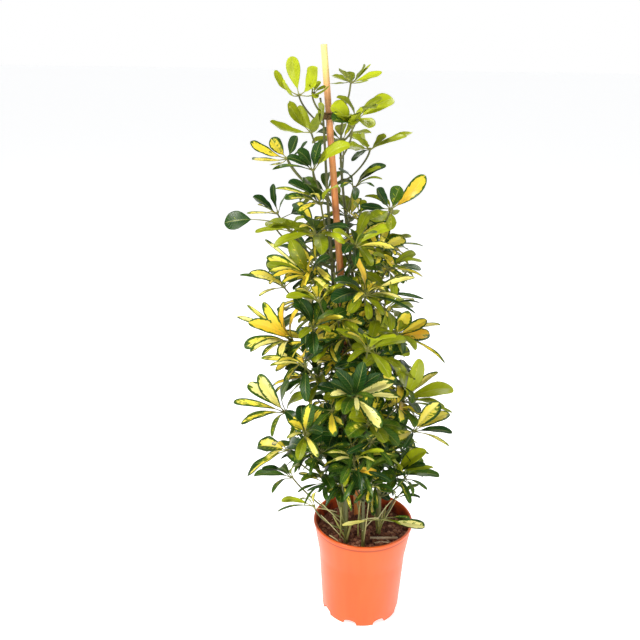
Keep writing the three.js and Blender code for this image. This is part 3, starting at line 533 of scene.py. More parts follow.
def addLeaflet(growth, leaf, part, middle, axis, out, chance):
    across = axis.cross(out)
    length = part["length"]
    tip = middle + out * length * math.cos(part["rise"]) + axis * length * math.sin(part["rise"])

    def aboveOf(direction):
        above = direction.cross(across).normalized()
        return -above if above.dot(axis) < 0 else above

    def draw(name):
        return chance.uniform(*leafletDraws[name])

    chord = tip - middle
    sway = across * length * draw("sway")
    arch = 2 * leaf.get("bow", leafShape["bow"]) * length
    path = [middle + out * leafShape["hub"], middle + chord * 0.5 + aboveOf(chord) * arch + sway, tip]
    seed = draw("seed")
    tint = tuple(value + draw(name) for name, value in leafTints[part["tint"]].items())
    # the outline is widest where these two powers balance
    broad, blunt = draw("broad"), draw("blunt") + leaf.get("taper", 0)
    widest = broad / (broad + blunt)
    peak = widest ** broad * (1 - widest) ** blunt
    half = leaf["width"] / 2 * part["wide"] * leafShape["slim"] * draw("wide")
    fold = draw("fold")
    twist = draw("twist")
    droop = draw("droop") * length
    wave, waves = draw("wave"), draw("waves")
    phases = draw("phase"), draw("phase")
    stalk, rim = leaf.get("stalk", leafShape["stalk"]), leafShape["rim"]
    droopFrom = leafShape["droopFrom"]
    tops, bottoms = [], []
    for u in leafShape["rows"]:
        t = stalk + (1 - stalk) * u
        place = bezier(path, t)
        ahead = (bezier(path, min(t + 0.01, 1)) - bezier(path, t - 0.01)).normalized()
        above = aboveOf(ahead)
        place = place - above * (droop * max(0, u - droopFrom) ** 2)
        turned = across * math.cos(twist * u) + above * math.sin(twist * u)
        above = above * math.cos(twist * u) - across * math.sin(twist * u)
        wide = max(half * u ** broad * (1 - u) ** blunt / peak, leafShape["thinnest"] * (1 - u))
        top, bottom = [], []
        for v in leafShape["columns"]:
            swell = math.sin(u * waves * 2 * math.pi + phases[v > 0]) * wave * v * v * min(1, wide / 8)
            lift = abs(v) * wide * math.sin(fold) + swell
            flat = place + turned * (v * wide * math.cos(fold)) + above * lift
            thick = leafShape["thick"] / 2 * (1 - v * v) * min(1, 0.25 + wide / 6)
            groove = leafShape["groove"] * (1 - u) * (v == 0)
            where = (u, v, seed)
            if abs(v) == 1:
                top.append(growth.point(flat, where, tint, rim))
                bottom.append(top[-1])
            else:
                top.append(growth.point(flat + above * (thick - groove), where, tint, 1))
                under = thick + groove * leafShape["grooveBelow"]
                bottom.append(growth.point(flat - above * under, where, tint, 0))
        tops.append(top)
        bottoms.append(bottom)
    fall = aboveOf(tip - path[1]) * (droop * (1 - droopFrom) ** 2)
    end = [growth.point(tip - fall, (1, 0, seed), tint, rim)]
    for before, after in zip(tops, tops[1:] + [end]):
        growth.strip(before, after)
    for before, after in zip(bottoms, bottoms[1:] + [end]):
        growth.strip(before[::-1], after[::-1])
    growth.face(tuple(tops[0][1:-1] + bottoms[0][::-1]))
    # the leaflet's own stalk runs on a little under the blade
    reach, below, steps = stalk + leafShape["stalkOn"], leafShape["thick"] * 0.5, leafShape["stalkSteps"]
    line = [bezier(path, reach * i / steps) - aboveOf(chord) * (below * i / steps) for i in range(steps + 1)]
    young = leafShape["darkStalk" if part["tint"] in ("dark", "green") else "youngStalk"]
    radii = [leafShape["stalkRadius"] * share for share in leafShape["stalkTaper"]]
    addTube(growth, line, lambda share, turn: partway(*radii, share), leafShape["stalkSides"],
            lambda share: (0, 0, young), 1, seed)


def stemPointAt(line, height):
    for below, above in zip(line, line[1:]):
        if above.z >= height:
            return below.lerp(above, (height - below.z) / (above.z - below.z))
    return line[-1].copy()


def addLeaf(growth, leaf, line, chance):
    middle = leaf["place"] if "place" in leaf else placeAt(leaf["hub"], leaf["y"])
    axis = Vector(leaf["faces"]).normalized()
    sideways = Vector((0, 0, 1)).cross(axis).normalized()
    other = axis.cross(sideways)
    for part in whorl(leaf, middle, axis, sideways, other, chance):
        out = sideways * math.cos(part["turn"]) + other * math.sin(part["turn"])
        added = part.get("added") or "place" in leaf
        if not (added and outOfPlace(middle, out, part["length"])):
            addLeaflet(growth, leaf, part, middle, axis, out, chance)
    # the leafstalk leaves the stem below the leaf, swings out and up, and ends in a knob amid the leaflets
    nearby = stemPointAt(line, middle.z)
    level = math.hypot(middle.x - nearby.x, middle.y - nearby.y)
    height = middle.z - leafstalk["drop"] - leafstalk["dropShare"] * level
    start = stemPointAt(line, max(leafstalk["lowest"], min(height, line[-1].z - leafstalk["underTip"])))
    reach = (middle - start).length
    outward = Vector((middle.x - start.x, middle.y - start.y, 0)).normalized()
    first = start + outward * leafstalk["swing"] * reach + Vector((0, 0, leafstalk["climb"] * reach))
    second = middle - axis * leafstalk["swing"] * reach
    steps = leafstalk["steps"]
    last = middle - axis * leafstalk["underHub"]
    route = [bezier([start, first, second, last], i / steps) for i in range(steps + 1)]
    route += [middle + axis * high for high, radius in leafstalk["knob"]]
    flares = [math.exp(-i * reach / steps / leafstalk["flareLength"]) for i in range(steps + 1)]
    radii = [partway(leafstalk["radius"], leafstalk["flare"], flare) for flare in flares]
    radii += [radius for high, radius in leafstalk["knob"]]
    pale = chance.uniform(*leafstalk["pale"])

    def tintAt(share):
        return (0, leafstalk["woody"], pale + leafstalk["paler"] * max(0, share - leafstalk["palerFrom"]))

    addTube(growth, route, lambda share, turn: radii[round(share * (len(route) - 1))], leafstalk["sides"],
            tintAt, 1, chance.uniform(0, 100))


# a leaf: the pixel and depth of its hub, the way it faces, how many leaflets it has, their length, width and
# rise in degrees, the tint of those that don't show, and the tips that do: pixel, tint, how wide as a share
# of the others, and 1 where the tip points away from the viewer or 0 where it lies level
def leaf(hub, y, faces, count, length, width, rise, rest, *tips, **own):
    return dict(hub=hub, y=y, faces=faces, count=count, length=length, width=width, rise=rise, rest=rest,
                tips=tips, **own)


# each stem: its middle line from inside the soil to the tip, and its leaves
stems = [dict(
    node="leafy_stem_left", radius=8, tip=2.8,
    line=[
        (-44, 0, 110), (-44, 0, 205), (-52, 4, 350), (-60, 10, 480), (-66, 10, 600), (-72, 5, 720),
        (-83, -2, 850), (-92, -6, 970), (-99, -7, 1070), (-105, -8, 1110),
    ],
    leaves=[
        leaf((299, 95), -20, (-1, -6, 7), 5, 72, 24, 40, "lime", (275, 71, "lime", 0.75),
             (292, 57, "lime"), (317, 67, "lime", 1.6), (284, 80, "lime", 0.55),
             (328, 86, "olive", 0.35), bow=-0.15),
        leaf((313, 93), -12, (2, -6, 7), 4, 30, 9, 40, "lime", (326, 86, "lime"), (318, 82, "lime"),
             (309, 86, "olive"), (316, 98, "olive", 1.3)),
        leaf((311, 132), -40, (-2, -6, 7), 5, 80, 26, 20, "olive", (271, 115, "olive", 0.7),
             (291, 104, "olive", 0.8), (312, 107, "olive", 1.55), (322, 109, "olive", 1.3),
             (299, 105, "olive", 0.6, 1), bow=-0.13),
        leaf((287, 158), -10, (-3, -5, 7), 4, 76, 24, 10, "dark", (250, 145, "yellow", 0.8),
             (254, 160, "yellow", 0.65), (263, 163, "pale", 0.5), (306, 141, "dark", 0.55), bow=-0.08),
        leaf((287, 158), -10, (-1, -6, 7), 2, 50, 24, 10, "dark", (271, 138, "yellow"),
             (297, 136, "dark"), spread=0.1, bow=-0.05),
        leaf((313, 170), -60, (0, -5, 8), 3, 88, 24, 12, "dark", (272, 169, "green", 0.35, 0),
             (350, 144, "lime", 1.1), (327, 155, "dark", 0.5, 1)),
        leaf((313, 170), -60, (-1, -6, 7), 3, 58, 24, 12, "dark", (287, 157, "dark", 0.7),
             (300, 150, "dark", 1.1), (320, 142, "dark", 0.8), spread=0.1),
        leaf((321, 204), -80, (-1, -4, 8), 8, 80, 26, 8, "dark", (288, 183, "dark", 1.1),
             (312, 175, "dark", 1.35), (275, 188, "pale", 0.35, 0), (291, 203, "splashed", 0.8),
             (295, 212, "splashed", 0.65), (337, 187, "lime", 0.9), (304, 193, "yellow", 0.45)),
        leaf((277, 213), 10, (-3, -5, 7), 6, 66, 22, 24, "splashed", (273, 184, "dark", 0.7),
             (262, 194, "dark"), (287, 194, "green", 0.55), (259, 202, "splashed", 0.6),
             (246, 212, "pale", 0.3), (258, 213, "yellow", 0.4), bow=0.03),
        leaf((291, 231), -35, (-4, -4, 8), 4, 72, 22, 0, "olive", (255, 232, "olive", 0.55, 0),
             (268, 226, "olive", 0.9), (300, 222, "olive", 0.8), (283, 222, "olive", 0.7)),
        leaf((275, 222), -22, (2, -7, 6), 3, 97, 31, 0, "dark", (224, 223, "dark", 1.1, 0),
             (312, 228, "olive", 0.8, 0), (306, 216, "dark", 0.7, 1), stalk=0.45, taper=0.3),
        leaf((316, 234), -62, (0, -5, 8), 7, 92, 26, 5, "dark", (267, 225, "olive", 1, 0),
             (345, 230, "dark", 0.6), (349, 240, "lime", 0.7), (312, 216, "dark"),
             (300, 228, "yellow", 0.4), (321, 254, "olive", 1.1)),
        leaf((311, 278), -50, (-3, -5, 7), 10, 90, 24, 6, "yellow", (301, 252, "gold", 0.8),
             (292, 243, "olive", 1.1), (268, 253, "yellow"), (258, 247, "cream", 0.3, 0),
             (267, 262, "olive", 0.8), (268, 270, "yellow", 0.8), (273, 276, "gold", 0.75),
             (282, 283, "yellow", 0.5), (329, 257, "dark", 0.6), (329, 290, "pale", 0.5)),
        leaf((284, 287), -4, (-3, -6, 7), 6, 86, 25, 4, "olive", (249, 275, "yellow"),
             (237, 284, "green", 0.3, 0), (257, 290, "pale", 0.3, 0), (296, 279, "green"),
             (270, 283, "yellow", 0.6)),
    ],
), dict(
    node="leafy_stem_back", radius=7, tip=2.8,
    line=[
        (18, 66, 110), (18, 66, 205), (8, 60, 330), (-12, 52, 470), (-24, 42, 610), (-36, 34, 760),
        (-55, 27, 900), (-66, 22, 1010), (-62, 15, 1100),
    ],
    leaves=[
        leaf((311, 263), 116, (-3, 2, 9), 6, 90, 30, 14, "dark", (277, 246, "dark", 0.9, 1),
             (291, 239, "dark", 1.1, 1), (326, 248, "olive")),
        leaf((351, 82), 26, (1, -5, 8), 8, 56, 21, 22, "olive", (331, 75, "olive", 0.8, 1),
             (331, 82, "olive", 0.45, 1), (343, 70, "olive", 1.3), (350, 71, "olive", 0.8),
             (360, 62, "olive", 0.9), (370, 63, "lime", 0.35), (383, 74, "lime", 0.8, 0),
             (368, 80, "lime", 0.5), spread=0.3, bow=-0.05),
        leaf((357, 119), 12, (2, -6, 7), 6, 76, 26, 14, "olive", (394, 99, "lime", 1.4),
             (368, 97, "olive", 1.1), (337, 97, "olive", 0.7), (371, 127, "lime", 1.1),
             (361, 129, "lime", 0.8), (382, 98, "olive", 0.8)),
        leaf((352, 126), -40, (-1, -5, 7), 4, 56, 29, 8, "olive", (331, 106, "lime", 1.2),
             (333, 121, "green", 1.1), (349, 110, "olive", 1.4), (362, 112, "lime", 0.9)),
        leaf((370, 149), 8, (0, -6, 7), 4, 50, 22, 8, "lime", (345, 147, "olive", 1.1),
             (352, 136, "lime", 1.2), (365, 134, "lime", 1.1), (386, 136, "olive", 1.1), spread=0.1,
             bow=0.02),
        leaf((370, 149), 8, (1, -5, 8), 3, 84, 20, 8, "lime", (407, 131, "olive", 0.6),
             (416, 138, "lime", 0.8, 0), (352, 160, "dark", 0.5), spread=0.3, bow=0.05),
        leaf((354, 187), -26, (2, -4, 8), 7, 76, 18, 8, "dark", (381, 166, "olive", 0.8),
             (387, 170, "dark", 1.1), (383, 178, "olive", 0.6), (378, 186, "dark", 0.35),
             (344, 173, "dark", 0.8), (337, 184, "green", 0.6), (350, 198, "dark", 0.7)),
        leaf((342, 140), 80, (-2, 4, 8), 5, 70, 24, 8, "dark"),
        leaf((326, 192), 92, (-4, 5, 7), 5, 62, 24, 6, "dark"),
        leaf((350, 218), 104, (2, 5, 7), 7, 84, 26, 8, "dark"),
        leaf((338, 240), 116, (0, 6, 7), 7, 92, 28, 4, "dark"),
        leaf((378, 266), 100, (4, 5, 7), 6, 84, 26, 4, "olive"),
        leaf((312, 312), 108, (-4, 5, 7), 6, 92, 28, 4, "dark"),
        leaf((352, 322), 128, (1, 6, 7), 7, 98, 28, 4, "olive"),
        leaf((388, 366), 100, (4, 5, 7), 6, 86, 26, 4, "dark"),
        leaf((334, 392), 112, (-2, 6, 7), 6, 84, 28, 4, "dark"),
        leaf((366, 424), 108, (2, 6, 7), 7, 94, 28, 2, "dark"),
        leaf((334, 458), 98, (-3, 5, 7), 7, 90, 28, 0, "dark"),
        leaf((374, 476), 92, (3, 5, 7), 6, 84, 26, 0, "dark"),
    ],
), dict(
    node="leafy_stem_front_left", radius=6, tip=3.4,
    line=[
        (-38, -50, 110), (-38, -50, 205), (-42, -44, 340), (-50, -36, 480), (-58, -30, 610),
        (-66, -26, 720), (-74, -24, 790),
    ],
    leaves=[
        leaf((319, 301), -106, (-2, -3, 8), 6, 66, 17, 8, "olive", (286, 298, "olive"),
             (297, 290, "yellow"), (314, 286, "yellow", 0.8), (303, 282, "pale", 0.6),
             (330, 284, "yellow", 0.6)),
        leaf((292, 341), -55, (-4, -5, 6), 10, 104, 27, 6, "yellow", (285, 302, "gold", 0.95),
             (300, 306, "gold", 0.5), (258, 319, "gold"), (235, 319, "cream", 0.4, 0),
             (242, 311, "pale", 0.3, 0), (263, 306, "yellow", 0.75), (244, 338, "splashed", 0.85, 0),
             (250, 351, "cream", 0.75), (262, 356, "splashed", 0.5), (281, 357, "cream", 0.7)),
        leaf((313, 328), -104, (1, -5, 8), 8, 76, 25, 10, "dark", (293, 305, "dark", 0.9),
             (307, 302, "dark"), (343, 319, "yellow", 0.55), (322, 305, "green", 0.95),
             (296, 331, "dark", 0.5, 0), (300, 338, "olive", 0.6), (330, 332, "olive", 0.6)),
        leaf((305, 366), -116, (-3, -5, 7), 7, 86, 24, 4, "dark", (261, 358, "pale", 0.5),
             (270, 365, "pale", 0.4), (296, 347, "gold", 0.9), (306, 349, "gold", 0.6),
             (283, 352, "yellow", 0.55), (320, 352, "dark", 0.9)),
        leaf((319, 379), -40, (-3, -2, 9), 6, 92, 27, 6, "dark", (283, 372, "dark", 1, 0),
             (322, 350, "dark", 0.8), (270, 382, "yellow", 0.45, 0), (304, 372, "dark", 0.8),
             (302, 393, "dark", 0.8), (301, 380, "yellow", 0.7)),
        leaf((285, 412), -50, (-3, -5, 7), 9, 102, 27, 6, "olive", (245, 390, "cream"),
             (264, 385, "cream"), (233, 401, "splashed", 0.6, 0), (246, 411, "pale", 0.45, 0),
             (240, 422, "splashed", 0.6), (284, 384, "dark", 0.8), (300, 431, "yellow", 0.7),
             (310, 390, "olive", 0.8), (272, 436, "green", 0.5)),
        leaf((288, 450), -88, (-3, -4, 8), 7, 84, 30, 2, "green", (257, 446, "splashed", 1.4, 0),
             (247, 476, "splashed", 0.7), (273, 432, "yellow", 0.6), (298, 446, "dark", 0.9),
             (264, 461, "pale", 0.4), (300, 462, "green", 0.6)),
        leaf((305, 434), -126, (0, -5, 7), 7, 70, 24, 8, "dark", (318, 457, "pale", 0.6),
             (310, 407, "splashed", 1.1), (290, 421, "yellow", 0.8), (322, 409, "yellow", 0.6),
             (287, 438, "pale", 0.4), (322, 432, "dark", 0.8)),
        leaf((292, 477), -50, (-4, -3, 8), 5, 82, 22, 0, "green", (253, 482, "green"),
             (262, 469, "dark", 0.8), (266, 491, "green", 0.5), (280, 464, "dark", 0.8),
             (298, 466, "olive", 0.6)),
        leaf((314, 506), -78, (-2, -2, 9), 4, 76, 18, 0, "green", (281, 500, "lime", 0.8, 0),
             (277, 511, "green", 0.3, 0), (318, 491, "pale", 0.5), (300, 499, "olive", 0.4), spread=0.1),
        leaf((322, 474), -84, (0, -5, 8), 5, 62, 24, 4, "green", (330, 489, "green"),
             (305, 463, "green", 0.9), (336, 468, "dark"), (321, 467, "olive"), (300, 479, "green", 0.6)),
        leaf((337, 432), -60, (-1, -5, 8), 5, 72, 30, 4, "dark", (312, 440, "dark", 0.9),
             (345, 462, "dark"), (322, 418, "dark", 0.9), (330, 408, "dark", 0.7), (328, 447, "dark")),
        leaf((336, 452), -44, (0, -4, 8), 5, 72, 28, 4, "dark", (328, 436, "dark", 1.1),
             (352, 440, "dark"), (316, 450, "dark", 0.9), (345, 472, "dark", 1.1), (330, 466, "dark")),
        leaf((342, 487), -40, (0, -4, 8), 5, 60, 26, 0, "dark", (330, 473, "dark"),
             (352, 474, "dark", 0.9), (329, 493, "green"), (351, 496, "dark", 0.8),
             (341, 502, "green", 0.8)),
    ],
), dict(
    node="leafy_stem_front", radius=4.6, tip=3,
    line=[
        (-2, -64, 110), (-2, -64, 205), (-6, -56, 330), (-14, -46, 460), (-20, -38, 580), (-24, -34, 680),
    ],
    leaves=[
        leaf((368, 350), -130, (1, -4, 8), 8, 86, 24, 8, "olive", (337, 332, "olive", 0.8),
             (376, 322, "dark", 0.9), (358, 329, "dark", 0.8), (396, 337, "lime", 0.8),
             (366, 336, "lime", 1.3), (345, 334, "yellow", 0.45), (350, 363, "olive", 0.5)),
        leaf((354, 397), -128, (0, -7, 7), 12, 90, 24, 4, "dark", (341, 372, "dark", 0.9),
             (362, 366, "dark"), (381, 376, "dark", 0.9), (393, 381, "cream", 1.1),
             (399, 395, "cream", 0.5), (385, 424, "cream"), (357, 411, "cream", 0.5),
             (331, 395, "cream", 0.7), (317, 387, "dark", 0.8, 0), (330, 381, "dark", 0.8),
             (344, 414, "green", 0.9), (372, 399, "green", 0.4)),
        leaf((368, 424), -106, (2, -4, 8), 7, 80, 30, 4, "green", (350, 438, "green", 1.1),
             (384, 442, "olive", 0.9), (372, 408, "olive"), (352, 421, "olive", 0.9),
             (378, 432, "yellow", 0.3)),
        leaf((354, 460), -122, (0, -4, 9), 8, 88, 15, 4, "green", (328, 453, "pale", 0.6),
             (331, 460, "cream", 0.8), (384, 449, "lime", 0.8), (395, 457, "pale", 0.5),
             (376, 462, "pale", 0.45), (341, 483, "green", 1.1)),
        leaf((350, 469), -118, (0, -4, 8), 4, 62, 24, 0, "dark", (372, 485, "gold", 0.9),
             (364, 489, "dark", 1.1), (349, 487, "olive", 0.4), (335, 478, "green", 0.8)),
        leaf((370, 487), -118, (1, -4, 8), 6, 54, 20, 0, "green", (368, 503, "splashed", 0.8),
             (384, 489, "cream", 0.35), (391, 493, "green", 0.9), (379, 477, "green"),
             (353, 489, "dark", 0.8)),
    ],
), dict(
    node="leafy_stem_right", radius=6, tip=3.4,
    line=[
        (33, -18, 110), (33, -18, 205), (30, -12, 340), (20, -6, 480), (10, 0, 620), (2, 4, 740),
        (-4, 6, 850),
    ],
    leaves=[
        leaf((391, 209), -30, (3, -4, 8), 1, 84, 29, 8, "gold", (425, 175, "gold", 1, 0), bow=-0.2),
        leaf((391, 209), -30, (1, -6, 7), 5, 54, 26, 8, "olive", (376, 190, "dark", 0.9),
             (400, 186, "green", 1.05), (361, 203, "dark", 0.5), (371, 219, "olive", 1.1),
             (391, 230, "olive", 0.8), spread=0.3, bow=-0.04),
        leaf((360, 213), -12, (0, -4, 8), 3, 30, 17, 16, "olive", (353, 203, "olive"),
             (366, 201, "olive"), (361, 221, "dark", 0.4)),
        leaf((355, 247), -84, (1, -5, 8), 7, 88, 22, 10, "olive", (333, 232, "lime", 0.85),
             (392, 226, "lime", 0.9, 0), (376, 232, "green", 0.9), (345, 252, "dark", 0.9),
             (352, 228, "dark", 0.8), (347, 263, "dark", 0.6)),
        leaf((379, 250), 0, (4, -3, 8), 8, 86, 25, 4, "olive", (401, 232, "olive", 0.9),
             (411, 237, "olive", 0.9), (424, 246, "green", 0.25, 0), (397, 256, "yellow", 0.7),
             (385, 237, "olive", 0.9), (384, 260, "olive", 1.2)),
        leaf((388, 269), -58, (4, -5, 7), 7, 82, 20, 4, "olive", (421, 262, "olive", 0.8),
             (421, 270, "dark", 0.95), (423, 277, "yellow", 0.4, 0), (391, 263, "gold", 0.5),
             (374, 254, "olive", 0.7)),
        leaf((366, 295), -94, (1, -5, 8), 11, 98, 24, 6, "dark", (356, 255, "gold", 0.85),
             (374, 269, "yellow", 0.85), (330, 299, "dark", 1.3), (336, 283, "dark", 1.1),
             (416, 281, "cream", 0.5), (415, 285, "green", 0.5, 0), (424, 293, "dark", 0.35, 0),
             (419, 302, "dark", 0.35), (404, 299, "pale", 0.5), (386, 290, "yellow", 0.4),
             (353, 302, "yellow", 0.5)),
        leaf((385, 309), -30, (4, -3, 8), 7, 84, 24, 0, "olive", (412, 299, "pale", 0.7),
             (420, 302, "dark", 0.35), (385, 292, "olive", 1.2), (378, 336, "olive", 0.75, 0),
             (391, 331, "olive", 0.6), (397, 316, "yellow", 0.4)),
        leaf((396, 336), -5, (2, -6, 7), 3, 66, 27, 4, "gold", (408, 311, "yellow", 1.1),
             (427, 320, "yellow", 0.9), (430, 334, "gold", 1.1), spread=0.1, bow=0.02),
        leaf((396, 336), -5, (4, -3, 7), 3, 104, 28, 4, "gold", (446, 341, "pale", 0.4, 0),
             (451, 349, "yellow", 0.35, 0), (404, 352, "dark", 0.5)),
        leaf((402, 402), -10, (3, -4, 8), 9, 102, 32, 4, "dark", (394, 364, "olive", 1.3),
             (421, 361, "lime", 0.95), (452, 384, "lime", 1, 0), (440, 375, "cream", 0.5),
             (453, 411, "olive", 0.3, 0), (445, 406, "olive", 0.5), (417, 413, "dark", 0.6),
             (404, 418, "gold", 0.7), (387, 394, "green", 0.7)),
        leaf((414, 431), -68, (3, -4, 8), 7, 82, 24, 4, "green", (444, 411, "yellow", 1.2),
             (452, 418, "yellow", 1.1), (452, 426, "dark", 0.7, 0), (452, 431, "pale", 0.3, 0),
             (385, 439, "pale", 1.15), (398, 446, "dark", 0.4), (410, 412, "dark", 0.6)),
        leaf((396, 475), -60, (2, -4, 8), 9, 92, 28, 6, "green", (392, 456, "lime", 1.2),
             (425, 452, "lime"), (424, 461, "dark", 0.55), (434, 464, "olive", 0.4),
             (440, 480, "green", 0.75, 0), (372, 465, "green", 0.8), (381, 480, "green", 0.9),
             (386, 491, "green", 0.6)),
        leaf((396, 497), 10, (4, -3, 8), 4, 58, 14, 6, "green", (420, 487, "green", 0.7),
             (421, 495, "dark", 0.9), (410, 489, "dark", 0.4), (387, 491, "lime", 0.8)),
        leaf((379, 519), -84, (0, -5, 7), 2, 88, 17, 0, "green", (342, 525, "ivory", 0.6, 0),
             (425, 526, "cream", 1.2, 0), bow=0.02, stalk=0.3, spread=0.1),
        leaf((379, 519), -84, (0, -3, 8), 2, 70, 12, 0, "green", (410, 518, "green", 0.8),
             (401, 524, "olive", 0.4), spread=0.1, stalk=0.5),
        leaf((386, 452), -20, (2, -3, 8), 6, 88, 28, 4, "dark", (372, 439, "green"),
             (408, 447, "green", 0.6), (398, 464, "dark", 0.8), (368, 458, "dark", 0.8)),
        leaf((374, 494), 22, (0, -3, 8), 4, 62, 24, 0, "dark", (360, 481, "dark"),
             (389, 500, "dark", 0.8), (357, 500, "green", 0.7)),
    ],
)]

stemShape = dict(
    sides=16, step=3.5, slim=0.88, taper=0.3, scar=0.1, scarEvery=23, scarLength=0.1, ridge=0.035, ridges=5,
    lump=0.06, flare=0.12, flareHeight=110,  # shares of the radius, but for the height in mm
    bark=0.75, barkAt=0.45, barkFade=2.2,  # how woody it looks, most of all at a share of the height
    paleFoot=0.75, paleTop=0.3,
)


def addStem(growth, stem, chance):
    # a stem with a swollen ring at each old leaf scar, a little wider at its foot
    shape = stemShape
    line = smoothLine(stem["line"], shape["step"])
    foot, top = line[0].z, line[-1].z
    offset = chance.uniform(0, shape["scarEvery"])
    turnOffset = chance.uniform(0, 6)

    def radiusAt(share, turn):
        height = foot + share * (top - foot)
        radius = partway(stem["radius"], stem["tip"], share) * (1 - shape["taper"] * share ** 2)
        ring = ((height + offset) % shape["scarEvery"]) / shape["scarEvery"]
        scar = math.exp(-((ring - 0.5) / shape["scarLength"]) ** 2) * shape["scar"]
        ridge = math.sin(turn * shape["ridges"] + turnOffset + height * 0.02) * shape["ridge"]
        lump = noise.noise(Vector((math.cos(turn), math.sin(turn), height * 0.06))) * shape["lump"]
        flare = 1 + shape["flare"] * (1 - min(1, (height - foot) / shape["flareHeight"]))
        return radius * (shape["slim"] + scar + ridge + lump) * flare

    def tintAt(share):
        bark = shape["bark"] * (1 - abs(share - shape["barkAt"]) * shape["barkFade"])
        return (1, bark, shape["paleFoot"] * (1 - share) ** 4 + shape["paleTop"] * share ** 4)

    addTube(growth, line, radiusAt, shape["sides"], tintAt, 1, chance.uniform(0, 100))
    return line


# smaller leaves close to the stems fill the middle of the plant, up each stem in a spiral
innerLeaf = dict(
    lowest=302, highest=835, every=27, lowEvery=9, uneven=(0.7, 1.3), turn=2.4, lean=0.7,
    reach=(30, 85), climb=(0.3, 0.8),  # out from the stem in mm, and up as a share of that
    length=(56, 84), width=(19, 27), leaflets=(6, 8), rise=(-6, 14), lowRise=(6, 24),
    tints=["dark", "green", "dark", "splashed", "green", "olive", "splashed", "yellow", "olive", "yellow"],
    paler=3,  # how many of the first tints are left out above the middle of the plant
    middle=620,
    slenderBelow=450, slender=0.62,  # the leaflets are narrower near the pot
    lowTints=["dark", "green", "olive", "dark", "green"],
)


def innerLeaves(line, chance):
    look = innerLeaf
    height = look["lowest"] + chance.uniform(0, look["every"])
    turn = chance.uniform(0, 6)
    leaves = []
    while height < min(look["highest"], line[-1].z):
        reach = chance.uniform(*look["reach"])
        out = Vector((math.cos(turn), math.sin(turn), 0))
        up = Vector((0, 0, reach * chance.uniform(*look["climb"])))
        low = height < look["slenderBelow"]
        tints = look["lowTints"] if low else look["tints"][look["paler"] * (height > look["middle"]):]
        leaves.append(dict(
            place=stemPointAt(line, height) + out * reach + up,
            faces=(out.x * look["lean"], out.y * look["lean"], 1),
            count=chance.randint(*look["leaflets"]) - leafShape["more"],
            length=chance.uniform(*look["length"]),
            width=chance.uniform(*look["width"]) * (look["slender"] if low else 1),
            rise=chance.uniform(*look["lowRise" if low else "rise"]),
            rest=chance.choice(tints),
        ))
        height += look["lowEvery" if low else "every"] * chance.uniform(*look["uneven"])
        turn += look["turn"]
    return leaves


# old leafstalks and young shoots at the foot of the stems: the pixels and depths of both ends, the radius,
# and how pale they are
looseStalks = dict(
    leafy_stem_front_left=[
        ((313, 508), -86, (337, 512), -40, 1.0, 1.6), ((318, 500), -70, (342, 524), -48, 1.1, 1.5),
        ((321, 515), -80, (345, 541), -52, 0.9, 1.8), ((333, 516), -66, (347, 541), -56, 1.7, 0.9),
        ((352, 522), -66, (346, 542), -54, 2.4, 1.1), ((336, 496), -54, (347, 528), -50, 1.5, 0.6),
        ((329, 535), -70, (338, 541), -74, 0.9, 1.9), ((341, 507), -70, (340, 538), -56, 1.3, 1.0),
    ],
    leafy_stem_front=[
        ((369, 500), -70, (363, 545), -66, 1.2, 1.4), ((361, 500), -60, (358, 536), -50, 1.4, 1.1),
        ((372, 520), -60, (362, 531), -66, 0.9, 1.8), ((356, 497), -40, (361, 528), -56, 1.8, 0.5),
    ],
    leafy_stem_right=[
        ((392, 500), -60, (377, 520), -80, 1.0, 1.8), ((397, 498), -30, (382, 524), -24, 1.0, 1.5),
        ((362, 520), -84, (379, 518), -84, 1.0, 1.7), ((383, 512), -70, (377, 534), -20, 1.3, 1.2),
        ((386, 505), -20, (379, 532), -18, 1.6, 0.7), ((371, 503), -30, (377, 530), -22, 1.5, 0.8),
    ],
)


looseStalkShape = dict(sag=[(-4, 4), (-3, 3), (-2, 4)], steps=12, sides=8, taper=(0.8, 1.15), woody=0.3)


def addLooseStalks(growth, rows, chance):
    shape = looseStalkShape
    for first, near, second, far, radius, pale in rows:
        start, end = placeAt(first, near), placeAt(second, far)
        middle = start.lerp(end, 0.5) + Vector([chance.uniform(*sag) for sag in shape["sag"]])
        line = [bezier([start, middle, end], i / shape["steps"]) for i in range(shape["steps"] + 1)]
        addTube(growth, line, lambda share, turn: radius * partway(*shape["taper"], share), shape["sides"],
                lambda share: (0, shape["woody"], pale), 1, chance.uniform(0, 100))


glossyLeaf, greenBark = bladeFinish(), stalkFinish()
for number, stem in enumerate(stems):
    chance = random.Random(100 + number)
    growth = Growth()
    line = addStem(growth, stem, chance)
    grown = stem["leaves"] + innerLeaves(line, chance)
    for one in grown:
        addLeaf(growth, one, line, chance)
    addLooseStalks(growth, looseStalks.get(stem["node"], []), chance)
    piece = growth.make(stem["node"] + "_grown", [glossyLeaf, greenBark])
    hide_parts(stem["node"])
    print(stem["node"], "has", len(grown), "leaves and", len(growth.faces), "faces")


# pot, with the driving sizes of the solid one
pot = dict(
    rimRadius=107.5, height=221, neckRadius=104.5, neckHeight=205, waistRadius=94, waistHeight=140,
    footRadius=85, wall=2.4, bead=8, lip=5, floor=4, ledgeRadius=60, ledgeHeight=15, ledgeSlope=3,
    arches=8, archWidth=29, archHeight=12, archInset=4, drainRadius=4, drainInset=10, turn=4.6, sides=144,
    orange="#e0580f", paleOrange="#dc6019", deepOrange="#d34a10", scuff="#f0a27c", shade="#9c3413",
    inside="#5e1f16", insideTop=217, insideSkin=1.3,  # dust, soil and painted shade on the inner wall; what has that colour: below a height, up to this thick
    edge=0.8, beadRound=2, roundSteps=6, archSteps=16, drainDepth=16, sharp=38,
    outerHeights=(20, 40, 60, 80, 100, 120, 134, 140, 146, 160, 175, 190, 200),
    innerHeights=(205, 185, 160, 140, 100, 60, 16),
)


